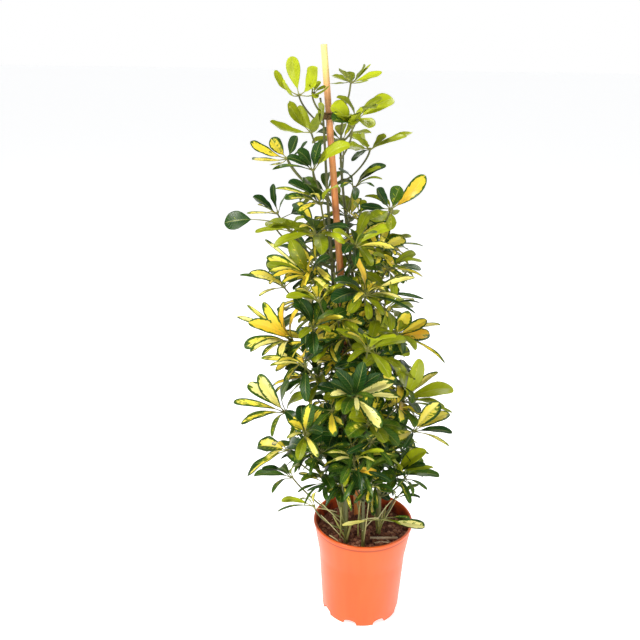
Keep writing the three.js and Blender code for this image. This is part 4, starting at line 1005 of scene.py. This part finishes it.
def outerRadius(height):
    # two slopes, which meet at the waist
    low = partway(pot["footRadius"], pot["waistRadius"], height / pot["waistHeight"])
    share = (height - pot["waistHeight"]) / (pot["neckHeight"] - pot["waistHeight"])
    return max(low, partway(pot["waistRadius"], pot["neckRadius"], share))


def innerRadius(height):
    return outerRadius(height) - pot["wall"]


def lathed(profile, sides):
    # a closed turned body whose profile starts and ends on the axis
    made = bmesh.new()
    rings = []
    for radius, height in profile:
        if radius == 0:
            rings.append([made.verts.new((0, 0, height * mm))])
            continue
        rings.append([
            made.verts.new((radius * mm * math.cos(turn), radius * mm * math.sin(turn), height * mm))
            for turn in turnsOf(sides)
        ])
    for before, after in zip(rings, rings[1:]):
        for i in range(sides):
            j = (i + 1) % sides
            if len(before) == 1:
                made.faces.new((before[0], after[j], after[i]))
            elif len(after) == 1:
                made.faces.new((before[i], before[j], after[0]))
            else:
                made.faces.new((before[i], before[j], after[j], after[i]))
    bmesh.ops.recalc_face_normals(made, faces=made.faces)
    return made


def meshPiece(name, made):
    mesh = bpy.data.meshes.new(name)
    made.to_mesh(mesh)
    made.free()
    return bpy.data.objects.new(name, mesh)


def potProfile():
    top, rim, neck = pot["height"], pot["rimRadius"], pot["neckHeight"]
    beadFoot = top - pot["bead"]
    profile = [(0, 0), (pot["footRadius"] - pot["edge"], 0), (pot["footRadius"], pot["edge"])]
    profile += [(outerRadius(z), z) for z in pot["outerHeights"]]
    profile += [(pot["neckRadius"], neck), (pot["neckRadius"] + 0.1, beadFoot - 3)]
    profile += [(pot["neckRadius"] + 0.2, beadFoot - 0.6), (rim - 1.2, beadFoot + 0.2)]
    profile += [(rim - 0.3, beadFoot + 0.9), (rim, beadFoot + 2), (rim, top - 2.6)]
    bend = pot["beadRound"]
    for i in range(pot["roundSteps"] + 1):
        turn = math.radians(90 * i / pot["roundSteps"])
        profile.append((rim - bend + bend * math.cos(turn), top - bend + bend * math.sin(turn)))
    lip = rim - pot["lip"]
    profile += [(lip + 1, top), (lip + 0.2, top - 0.4), (lip, top - 1.4)]
    profile += [(innerRadius(z), z) for z in pot["innerHeights"]]
    profile += [(innerRadius(pot["ledgeHeight"]) - 1, pot["ledgeHeight"])]
    profile += [(pot["ledgeRadius"], pot["ledgeHeight"])]
    return profile + [(pot["ledgeRadius"] - pot["ledgeSlope"], pot["floor"]), (0, pot["floor"])]


def archCutter(turn):
    # a round-topped notch, from inside the foot out through the wall
    half, shoulder = pot["archWidth"] / 2, pot["archHeight"] / 3
    outline = [(-half, -2), (half, -2)]
    for i in range(pot["archSteps"] + 1):
        swing = math.pi * i / pot["archSteps"]
        outline.append((half * math.cos(swing), shoulder + (pot["archHeight"] - shoulder) * math.sin(swing)))
    made = bmesh.new()
    ends = []
    for reach in (pot["ledgeRadius"] + pot["archInset"], pot["rimRadius"]):
        ends.append([
            made.verts.new((
                (reach * math.cos(turn) - x * math.sin(turn)) * mm,
                (reach * math.sin(turn) + x * math.cos(turn)) * mm,
                z * mm,
            )) for x, z in outline
        ])
    made.faces.new(ends[0])
    made.faces.new(ends[1][::-1])
    for i in range(len(outline)):
        j = (i + 1) % len(outline)
        made.faces.new((ends[0][i], ends[1][i], ends[1][j], ends[0][j]))
    bmesh.ops.recalc_face_normals(made, faces=made.faces)
    return meshPiece("archCutter", made)


def drainCutter(turn):
    made = bmesh.new()
    radius = pot["drainRadius"] * mm
    bmesh.ops.create_cone(
        made, cap_ends=True, segments=20, radius1=radius, radius2=radius, depth=pot["drainDepth"] * mm)
    reach = pot["ledgeRadius"] + pot["drainInset"]
    move = Vector((reach * math.cos(turn), reach * math.sin(turn), pot["ledgeHeight"])) * mm
    bmesh.ops.translate(made, verts=made.verts, vec=move)
    return meshPiece("drainCutter", made)


def potFinish():
    # injection-moulded plastic: a soft sheen, faint flow marks, scuffs low down, and dust and soil inside,
    # with painted shade under the bead and over the inner wall
    paint = Paint("orangePlastic", Coat_Weight=0.5, Coat_Roughness=0.22, Specular_IOR_Level=0.3)
    inside = paint.read("inside", "Fac")
    flow = paint.noise(paint.place((1, 1, 0.12)), 28, 3)
    fine = paint.noise(paint.place(), 900, 2)
    cloud = paint.noise(paint.place(), 14, 3)
    height = paint.parts(paint.place())[2]
    scuffs = paint.step(paint.noise(paint.place((1, 1, 3)), 220, 4, 0.7), 0.62, 0.72)
    low = 1 - paint.step(height, 0.0, 0.05)
    colour = paint.mix(paint.step(flow, 0.3, 0.7), pot["orange"], pot["paleOrange"])
    colour = paint.mix(cloud * 0.25, colour, pot["deepOrange"])
    colour = paint.mix(scuffs * low * 0.3, colour, pot["scuff"])
    beadFoot = (pot["height"] - pot["bead"] - 2.5) * mm
    groove = 1 - paint.step(abs(height - beadFoot), 0.001, 0.0042)  # painted shade held under the bead
    colour = paint.mix(groove * (1 - inside) * 0.7, colour, pot["shade"])
    # painted shade with dust and soil: the inner wall is darkened towards the inside colour
    soiledAndShaded = inside * (0.55 + paint.step(paint.noise(paint.place((1, 1, 0.6)), 60, 4), 0.4, 0.62) * 0.4)
    colour = paint.mix(soiledAndShaded, colour, pot["inside"])
    paint.give("Base Color", colour)
    paint.give("Roughness", 0.4 + cloud * 0.12 + scuffs * low * 0.2 + inside * 0.25)
    paint.bump(fine * 0.25 + flow * 0.8, 0.0003, 0.5)
    return paint.material


def makePot():
    body = meshPiece("nursery_pot", lathed(potProfile(), pot["sides"]))
    bpy.context.scene.collection.objects.link(body)
    for i in range(pot["arches"]):
        turn = -math.pi / 2 + math.radians(pot["turn"]) + (i + 0.5) * 2 * math.pi / pot["arches"]
        for cutter in (archCutter(turn), drainCutter(turn)):
            bpy.context.scene.collection.objects.link(cutter)
            cut = body.modifiers.new("cut", "BOOLEAN")
            cut.object = cutter
            cut.operation = "DIFFERENCE"
            cut.solver = "EXACT"
    bpy.context.view_layer.update()
    shaped = body.evaluated_get(bpy.context.evaluated_depsgraph_get())
    mesh = bpy.data.meshes.new_from_object(shaped)
    body.modifiers.clear()
    body.data = mesh
    for thing in [o for o in bpy.data.objects if o.name.startswith(("archCutter", "drainCutter"))]:
        bpy.data.objects.remove(thing)
    mesh.materials.clear()
    mesh.materials.append(potFinish())
    mesh.polygons.foreach_set("material_index", [0] * len(mesh.polygons))
    mesh.polygons.foreach_set("use_smooth", [True] * len(mesh.polygons))
    mesh.set_sharp_from_angle(angle=math.radians(pot["sharp"]))
    layer = mesh.attributes.new("inside", "FLOAT", "POINT")
    inner = []
    for vertex in mesh.vertices:
        radius, height = math.hypot(vertex.co.x, vertex.co.y) / mm, vertex.co.z / mm
        deep = pot["floor"] - 1 < height < pot["insideTop"]
        inner.append(float(deep and radius < innerRadius(height) + pot["insideSkin"]))
    layer.data.foreach_set("value", inner)
    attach(body, "root")
    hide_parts("pot")


makePot()
print("pot made")


# potting soil: a lumpy mound with crumbs and chips of bark
soil = dict(
    top=192, skirt=150, mound=5, rings=44, sides=130, crumbs=1500, chips=160, gap=0.6,
    brink=0.85, moundSlope=0.55,  # where the mound ends and how wide its slope is, as shares of the radius
    edgeDrop=12,  # mm down for each radius beyond that
    lumps=[(0.035, 3.1, 2.6), (0.16, 7.7, 1.5), (0.5, 1.3, 0.8)],  # how close, where in the noise, how high
    crumbly=[(0.1, "#331a13"), (0.4, "#6a3a2b"), (0.7, "#a3694f"), (1.0, "#d6aa8e")],
    bark=[(0.3, "#6d3b28"), (0.7, "#c08262")], patch="#4b2a20",
    crumbSize=(0.9, 6.5), crumbWidth=0.85, crumbThick=0.7, fineness=3,
    chipSize=(2.5, 7), chipWidth=(0.3, 0.6), chipThick=0.25, plainTint=0.35,
    rough=(0.72, 1.15),  # how far a crumb's corners lie from its middle, as a share of its size
    tilt=0.35, lean=0.3, raised=0.35, clear=2.5,
)


def soilHeight(x, y):
    reach = math.hypot(x, y) / innerRadius(soil["top"])
    inside = soil["brink"] - reach
    mound = soil["mound"] * max(0.0, min(1.0, inside / soil["moundSlope"]))
    mound -= soil["edgeDrop"] * max(0, -inside)
    lumps = [noise.noise(Vector((x * close, y * close, at))) * high for close, at, high in soil["lumps"]]
    return soil["top"] + mound + sum(lumps)


def soilFinish():
    # tint x picks each crumb's colour, and y is 1 on a chip of bark
    paint = Paint("pottingSoil")
    pick, bark = paint.parts(paint.read("tint"))[:2]
    fine = paint.noise(paint.place(), 900, 5, 0.7)
    patch = paint.noise(paint.place(), 70, 3)
    colour = paint.ramp(pick * 0.65 + fine * 0.5, soil["crumbly"])
    colour = paint.mix(bark, colour, paint.ramp(fine, soil["bark"]))
    colour = paint.mix(paint.step(patch, 0.45, 0.7) * 0.35, colour, soil["patch"])
    paint.give("Base Color", colour)
    paint.give("Roughness", 0.96 - fine * 0.15)
    paint.bump(fine, 0.0012, 0.8)
    return paint.material


def crumbShape():
    # a lump with twelve corners and the twenty faces between corners that lie next to each other
    golden = (1 + math.sqrt(5)) / 2
    corners = [Vector((x, y * golden, 0)) for y in (1, -1) for x in (-1, 1)]
    corners += [Vector((0, y, z * golden)) for z in (1, -1) for y in (-1, 1)]
    corners += [Vector((x * golden, 0, z)) for x in (1, -1) for z in (-1, 1)]
    faces = []
    for a, b, c in itertools.combinations(range(len(corners)), 3):
        first, second, third = corners[a], corners[b], corners[c]
        if max((first - second).length, (second - third).length, (third - first).length) < 2.1:
            outward = (second - first).cross(third - first).dot(first) > 0
            faces.append((a, b, c) if outward else (a, c, b))
    return [corner.normalized() for corner in corners], faces


crumbCorners, crumbFaces = crumbShape()


def addCrumb(growth, place, sizes, tint, chance):
    # turned and roughened at random
    tilt, lean = soil["tilt"], soil["lean"]
    turn = chance.uniform(0, 2 * math.pi)
    right = Vector((math.cos(turn), math.sin(turn), chance.uniform(-tilt, tilt))).normalized()
    up = Vector((chance.uniform(-lean, lean), chance.uniform(-lean, lean), 1))
    up = (up - right * up.dot(right)).normalized()
    front = up.cross(right)
    made = []
    for corner in crumbCorners:
        rough = corner * chance.uniform(*soil["rough"])
        shaped = right * rough.x * sizes[0] + front * rough.y * sizes[1] + up * rough.z * sizes[2]
        made.append(growth.point(place + shaped, (0, 0, 0), tint))
    for face in crumbFaces:
        growth.face(tuple(made[i] for i in face))


def makeSoil():
    chance = random.Random(41)
    growth = Growth()
    edge = innerRadius(soil["top"]) - soil["gap"]
    # rings from the middle out over the top, whose height is the soil's own, and then down inside the pot
    rings = [(max(0.5, edge * math.sqrt(i / soil["rings"])), None) for i in range(soil["rings"] + 1)]
    ledge = pot["ledgeHeight"]
    rings += [(innerRadius(soil["skirt"]) - soil["gap"], soil["skirt"])]
    rings += [(innerRadius(ledge + 2) - 1, ledge + 1)]
    rings += [(pot["ledgeRadius"], ledge + 1), (pot["ledgeRadius"] - 4, pot["floor"] + soil["gap"])]
    before, tint = None, (soil["plainTint"], 0, 0)
    for radius, height in rings:
        row = []
        for turn in turnsOf(soil["sides"]):
            x, y = radius * math.cos(turn), radius * math.sin(turn)
            row.append(growth.point(Vector((x, y, height or soilHeight(x, y))), tint=tint))
        if before:
            growth.join(before, row)
        else:
            growth.face(tuple(row))
        before = row
    growth.face(tuple(reversed(before)))
    for i in range(soil["crumbs"] + soil["chips"]):
        radius, turn = (edge - soil["clear"]) * math.sqrt(chance.random()), chance.uniform(0, 2 * math.pi)
        x, y = radius * math.cos(turn), radius * math.sin(turn)
        if i < soil["crumbs"]:
            size = partway(*soil["crumbSize"], chance.random() ** soil["fineness"])
            sizes = size, size * soil["crumbWidth"], size * soil["crumbThick"]
            tint = chance.random(), 0, 0
        else:
            size = chance.uniform(*soil["chipSize"])
            sizes = size, size * chance.uniform(*soil["chipWidth"]), size * soil["chipThick"]
            tint = chance.random(), 1, 0
        place = Vector((x, y, soilHeight(x, y) + sizes[2] * soil["raised"]))
        addCrumb(growth, place, sizes, tint, chance)
    piece = growth.make("potting_soil", [soilFinish()], smooth=False)
    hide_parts("soil")
    print("soil has", len(growth.faces), "faces")


makeSoil()


def stakeFinish():
    paint = Paint("peeledStick", Coat_Weight=0.2, Coat_Roughness=0.3)
    height = paint.parts(paint.place())[2]
    plain = paint.read("upper", "Fac")  # less than 1 at a knot
    grain = paint.noise(paint.place((1, 1, 0.03)), 700, 5, 0.65)
    bands = paint.noise(paint.place((1, 1, 0.15)), 55, 3)
    colour = paint.ramp(grain * 0.6 + bands * 0.4, stake["wood"])
    colour = paint.mix((1 - plain) * 0.7, colour, stake["knotColour"])
    # paler wood towards the top of the stake
    colour = paint.mix(paint.step(height, 0.98, 1.14) * 0.5, colour, stake["paleTopWood"])
    colour = paint.mix(paint.step(height, 1.12, 1.18), colour, stake["tipColour"])
    paint.give("Base Color", colour)
    paint.give("Roughness", 0.42 + grain * 0.25)
    paint.bump(grain + bands * 0.5, 0.0006, 0.6)
    return paint.material


def makeStake():
    growth = Growth()
    foot, tip = stakeLine[0], stakeLine[-1]

    def heightAt(share):
        return stakeLine[round(share * (len(stakeLine) - 1))].z

    def swellAt(share):
        near = min(abs(heightAt(share) - knot) for knot in stake["knots"])
        return math.exp(-(near / stake["knotLength"]) ** 2)

    def radiusAt(share, turn):
        height = heightAt(share)
        lump = noise.noise(Vector((math.cos(turn), math.sin(turn), height * 0.02)))
        oneSided = 0.5 + 0.5 * math.cos(turn - height)  # a knot swells on one side
        radius = partway(stake["radius"], stake["tipRadius"], (height - foot.z) / (tip.z - foot.z))
        swell = stake["knotSwell"] * swellAt(share) * oneSided
        return radius * (stake["slim"] + stake["lump"] * lump + swell)

    rings = addTube(growth, stakeLine, radiusAt, stake["sides"], closed=False,
                    upperAt=lambda share: 1 - swellAt(share) * stake["knotDark"])
    growth.face(tuple(reversed(rings[0])))
    top = tip + Vector((0, 0, stake["sawnHeight"]))
    rim = [growth.point(top + (growth.points[i] - tip) * stake["sawnEdge"]) for i in rings[-1]]
    growth.join(rings[-1], rim)
    growth.face(tuple(rim))
    piece = growth.make("peeled_stake", [stakeFinish()])
    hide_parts("stake")


makeStake()


# ties: a few turns of raffia round the stake and the left stem, knotted in front
tie = dict(
    heights=dict(tie_lower=620, tie_upper=1078), gap=0.9, strand=1.25, turns=5, pitch=2.2, sides=9, bends=12,
    fibres=[(0.2, "#2e1f0e"), (0.5, "#5b4420"), (0.8, "#8f7038")],
    loose=0.25, wobble=0.35,  # mm between one turn and the next, and up and down
    knotOut=2.4, knotLean=0.7, knotHalf=2.31, knotDeep=2.52, knotStrand=1.3,
    endRadii=(1.15, 0.65), endSides=8, endSteps=10,
    end=[(0, 0, 0), (4, 2, 0), (7, 0, -6), (8.5, 1.5, -15)],  # a loose end: aside, forward and up
)


def raffiaFinish():
    paint = Paint("raffia")
    fibre = paint.noise(paint.place(), 900, 3, 0.6)
    along = paint.parts(paint.read("blade"))[1]
    stripes = paint.step(abs((along * 5 + fibre) % 1 - 0.5), 0.1, 0.4)
    paint.give("Base Color", paint.ramp(fibre * 0.6 + stripes * 0.4, tie["fibres"]))
    paint.give("Roughness", 0.8 - stripes * 0.1)
    paint.bump(stripes + fibre, 0.0004, 0.8)
    return paint.material


def loopRound(first, second, radii, lift):
    # one turn round two upright rods, as closed points
    span = math.hypot(second.x - first.x, second.y - first.y)
    heading = math.atan2(second.y - first.y, second.x - first.x)
    lean = math.acos((radii[0] - radii[1]) / span)
    points = []
    for middle, radius, start, end in (
        (first, radii[0], lean, 2 * math.pi - lean),
        (second, radii[1], -lean, lean),
    ):
        for i in range(tie["bends"] + 1):
            turn = heading + start + (end - start) * i / tie["bends"]
            points.append(middle + Vector((radius * math.cos(turn), radius * math.sin(turn), lift)))
    return points + points[:1]


def makeTie(name, height, finish):
    chance = random.Random(round(height))
    stem = stems[0]
    stemLine = smoothLine(stem["line"], 5)
    first, second = stemPointAt(stakeLine, height), stemPointAt(stemLine, height)
    stemRadius = partway(stem["radius"], stem["tip"], height / stemLine[-1].z)
    growth = Growth()
    for turn in range(tie["turns"]):
        lift = (turn - (tie["turns"] - 1) / 2) * tie["pitch"]
        clear = tie["gap"] + tie["strand"] + tie["loose"] * (turn % 2)
        route = loopRound(first, second, (stake["radius"] + clear, stemRadius + clear), lift)
        lifts = [tie["wobble"] * math.sin(i * 0.9 + turn * 2) for i in range(len(route))]
        route = [place + Vector((0, 0, off)) for place, off in zip(route, lifts)]
        addTube(growth, route, lambda share, angle: tie["strand"] * (1 + 0.12 * math.sin(3 * angle)),
                tie["sides"], seed=chance.uniform(0, 100), closed=False)
    across = (second - first).cross(Vector((0, 0, 1))).normalized()
    front = across if across.y < 0 else -across
    knot = first.lerp(second, 0.5) + front * (stake["radius"] + tie["gap"] + tie["knotOut"])
    along = (second - first).normalized()
    for lean in (-tie["knotLean"], tie["knotLean"]):
        # two crossed wraps make the knot
        way = along * math.cos(lean) + Vector((0, 0, 1)) * math.sin(lean)
        turns = turnsOf(tie["bends"])
        wrap = [
            knot + way * (tie["knotHalf"] * math.sin(turn)) + front * (tie["knotDeep"] * math.cos(turn))
            for turn in turns + turns[:1]
        ]
        addTube(growth, wrap, lambda share, angle: tie["knotStrand"], tie["sides"],
                seed=chance.uniform(0, 100), closed=False)
    for way in (-1, 1):
        end = [knot + along * way * a + front * f + Vector((0, 0, up)) for a, f, up in tie["end"]]
        route = [bezier(end, i / tie["endSteps"]) for i in range(tie["endSteps"] + 1)]
        addTube(growth, route, lambda share, angle: partway(*tie["endRadii"], share), tie["endSides"],
                seed=chance.uniform(0, 100))
    piece = growth.make("raffia_" + name, [finish])
    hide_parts(name)


raffia = raffiaFinish()
for name, height in tie["heights"].items():
    makeTie(name, height, raffia)
print("stake and ties made")


# a dry leafstalk fallen on the soil, with two thin bits beside it
dryStalk = dict(
    radius=3.2, tipRadius=2.6, start=(14, -42, 199), end=(74, -40, 199), bow=(0, -2, 1), step=2.5, sides=18,
    slim=0.95, ridge=0.07, ridges=6, lump=0.14, brokenFrom=0.97, broken=0.35,
    twigStep=3, twigSides=8, twigRise=2.6, twigTaper=(1.1, 0.8),
    twigs=[((20, -56), (56, -50), 1.9), ((30, -34), (58, -47), 0.9)],  # from, to and the radius
    bark=[(0.25, "#a07c62"), (0.45, "#dabfa2"), (0.7, "#f3e3cb")],
)


def dryFinish():
    paint = Paint("dryBark")
    grain = paint.noise(paint.place((0.08, 1, 1)), 600, 4, 0.65)
    blotch = paint.noise(paint.place(), 160, 3)
    paint.give("Base Color", paint.ramp(grain * 0.6 + blotch * 0.4, dryStalk["bark"]))
    paint.give("Roughness", 0.85 - grain * 0.15)
    paint.bump(grain + blotch * 0.5, 0.0007, 0.9)
    return paint.material


def makeDryStalk():
    growth = Growth()
    start, end = Vector(dryStalk["start"]), Vector(dryStalk["end"])
    line = smoothLine([start, start.lerp(end, 0.5) + Vector(dryStalk["bow"]), end], dryStalk["step"])

    def radiusAt(share, turn):
        radius = partway(dryStalk["radius"], dryStalk["tipRadius"], share)
        lump = noise.noise(Vector((share * 9, math.cos(turn), math.sin(turn))))
        ridges = dryStalk["ridge"] * math.sin(turn * dryStalk["ridges"]) + dryStalk["lump"] * lump
        broken = dryStalk["broken"] * (share > dryStalk["brokenFrom"])
        return radius * (dryStalk["slim"] + ridges) * (1 - broken)

    addTube(growth, line, radiusAt, dryStalk["sides"])
    for a, b, radius in dryStalk["twigs"]:
        twig = [Vector((*a, soilHeight(*a) + 1)), Vector((*b, soilHeight(*b) + 1.4))]
        middle = twig[0].lerp(twig[1], 0.5) + Vector((0, 0, dryStalk["twigRise"]))
        bent = smoothLine([twig[0], middle, twig[1]], dryStalk["twigStep"])
        addTube(growth, bent, lambda share, turn: radius * partway(*dryStalk["twigTaper"], share),
                dryStalk["twigSides"])
    piece = growth.make("dry_stalk_lying", [dryFinish()])
    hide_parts("dry_stalk")


makeDryStalk()
print("dry stalk made")


# floor and lights
studio = dict(
    floor="#f2f2f2",
    reach=20,
    glow=0.74,  # keeps the far floor as pale as the near one
    sky=[(0.0, "#ffffff"), (0.05, "#ffffff"), (0.4, "#a0a1a2"), (1.0, "#86898c")],  # from level to overhead
    skyStrength=1.0,
    lamps=[  # place, size, power and colour
        ("keyLamp", (-1.6, -1.3, 3.0), 0.7, 84, (1, 0.97, 0.91)),
        ("fillLamp", (0.9, -2.6, 0.9), 1.2, 30, (1, 0.98, 0.95)),
        ("backLamp", (0.6, 1.9, 2.6), 1.2, 28, (1, 0.98, 0.95)),
    ],
    aim=(0, 0, 0.6),
)


def makeStudio():
    floor, far = studio["floor"], studio["reach"]
    paint = Paint("paleFloor", Base_Color=floor, Roughness=0.7, Emission_Color=floor,
                  Emission_Strength=studio["glow"])
    mesh = bpy.data.meshes.new("floor")
    mesh.from_pydata([(-far, -far, 0), (far, -far, 0), (far, far, 0), (-far, far, 0)], [], [(0, 1, 2, 3)])
    mesh.materials.append(paint.material)
    floor = bpy.data.objects.new("floor", mesh)
    bpy.context.scene.collection.objects.link(floor)
    for name, place, size, power, colour in studio["lamps"]:
        lamp = bpy.data.lights.new(name, "AREA")
        lamp.size = size
        lamp.energy = power
        lamp.color = colour
        holder = bpy.data.objects.new(name, lamp)
        holder.location = place
        holder.rotation_euler = (Vector(studio["aim"]) - Vector(place)).to_track_quat("-Z", "Y").to_euler()
        bpy.context.scene.collection.objects.link(holder)
    sky = Paint("softRoom", bpy.data.worlds, "Background", Strength=studio["skyStrength"])
    height = sky.parts(sky.node("ShaderNodeTexCoord", output="Generated"))[2]
    sky.give("Color", sky.ramp(height, studio["sky"]))
    bpy.context.scene.world = sky.material
    bpy.context.scene.view_settings.view_transform = "Standard"


makeStudio()
print("studio lit")
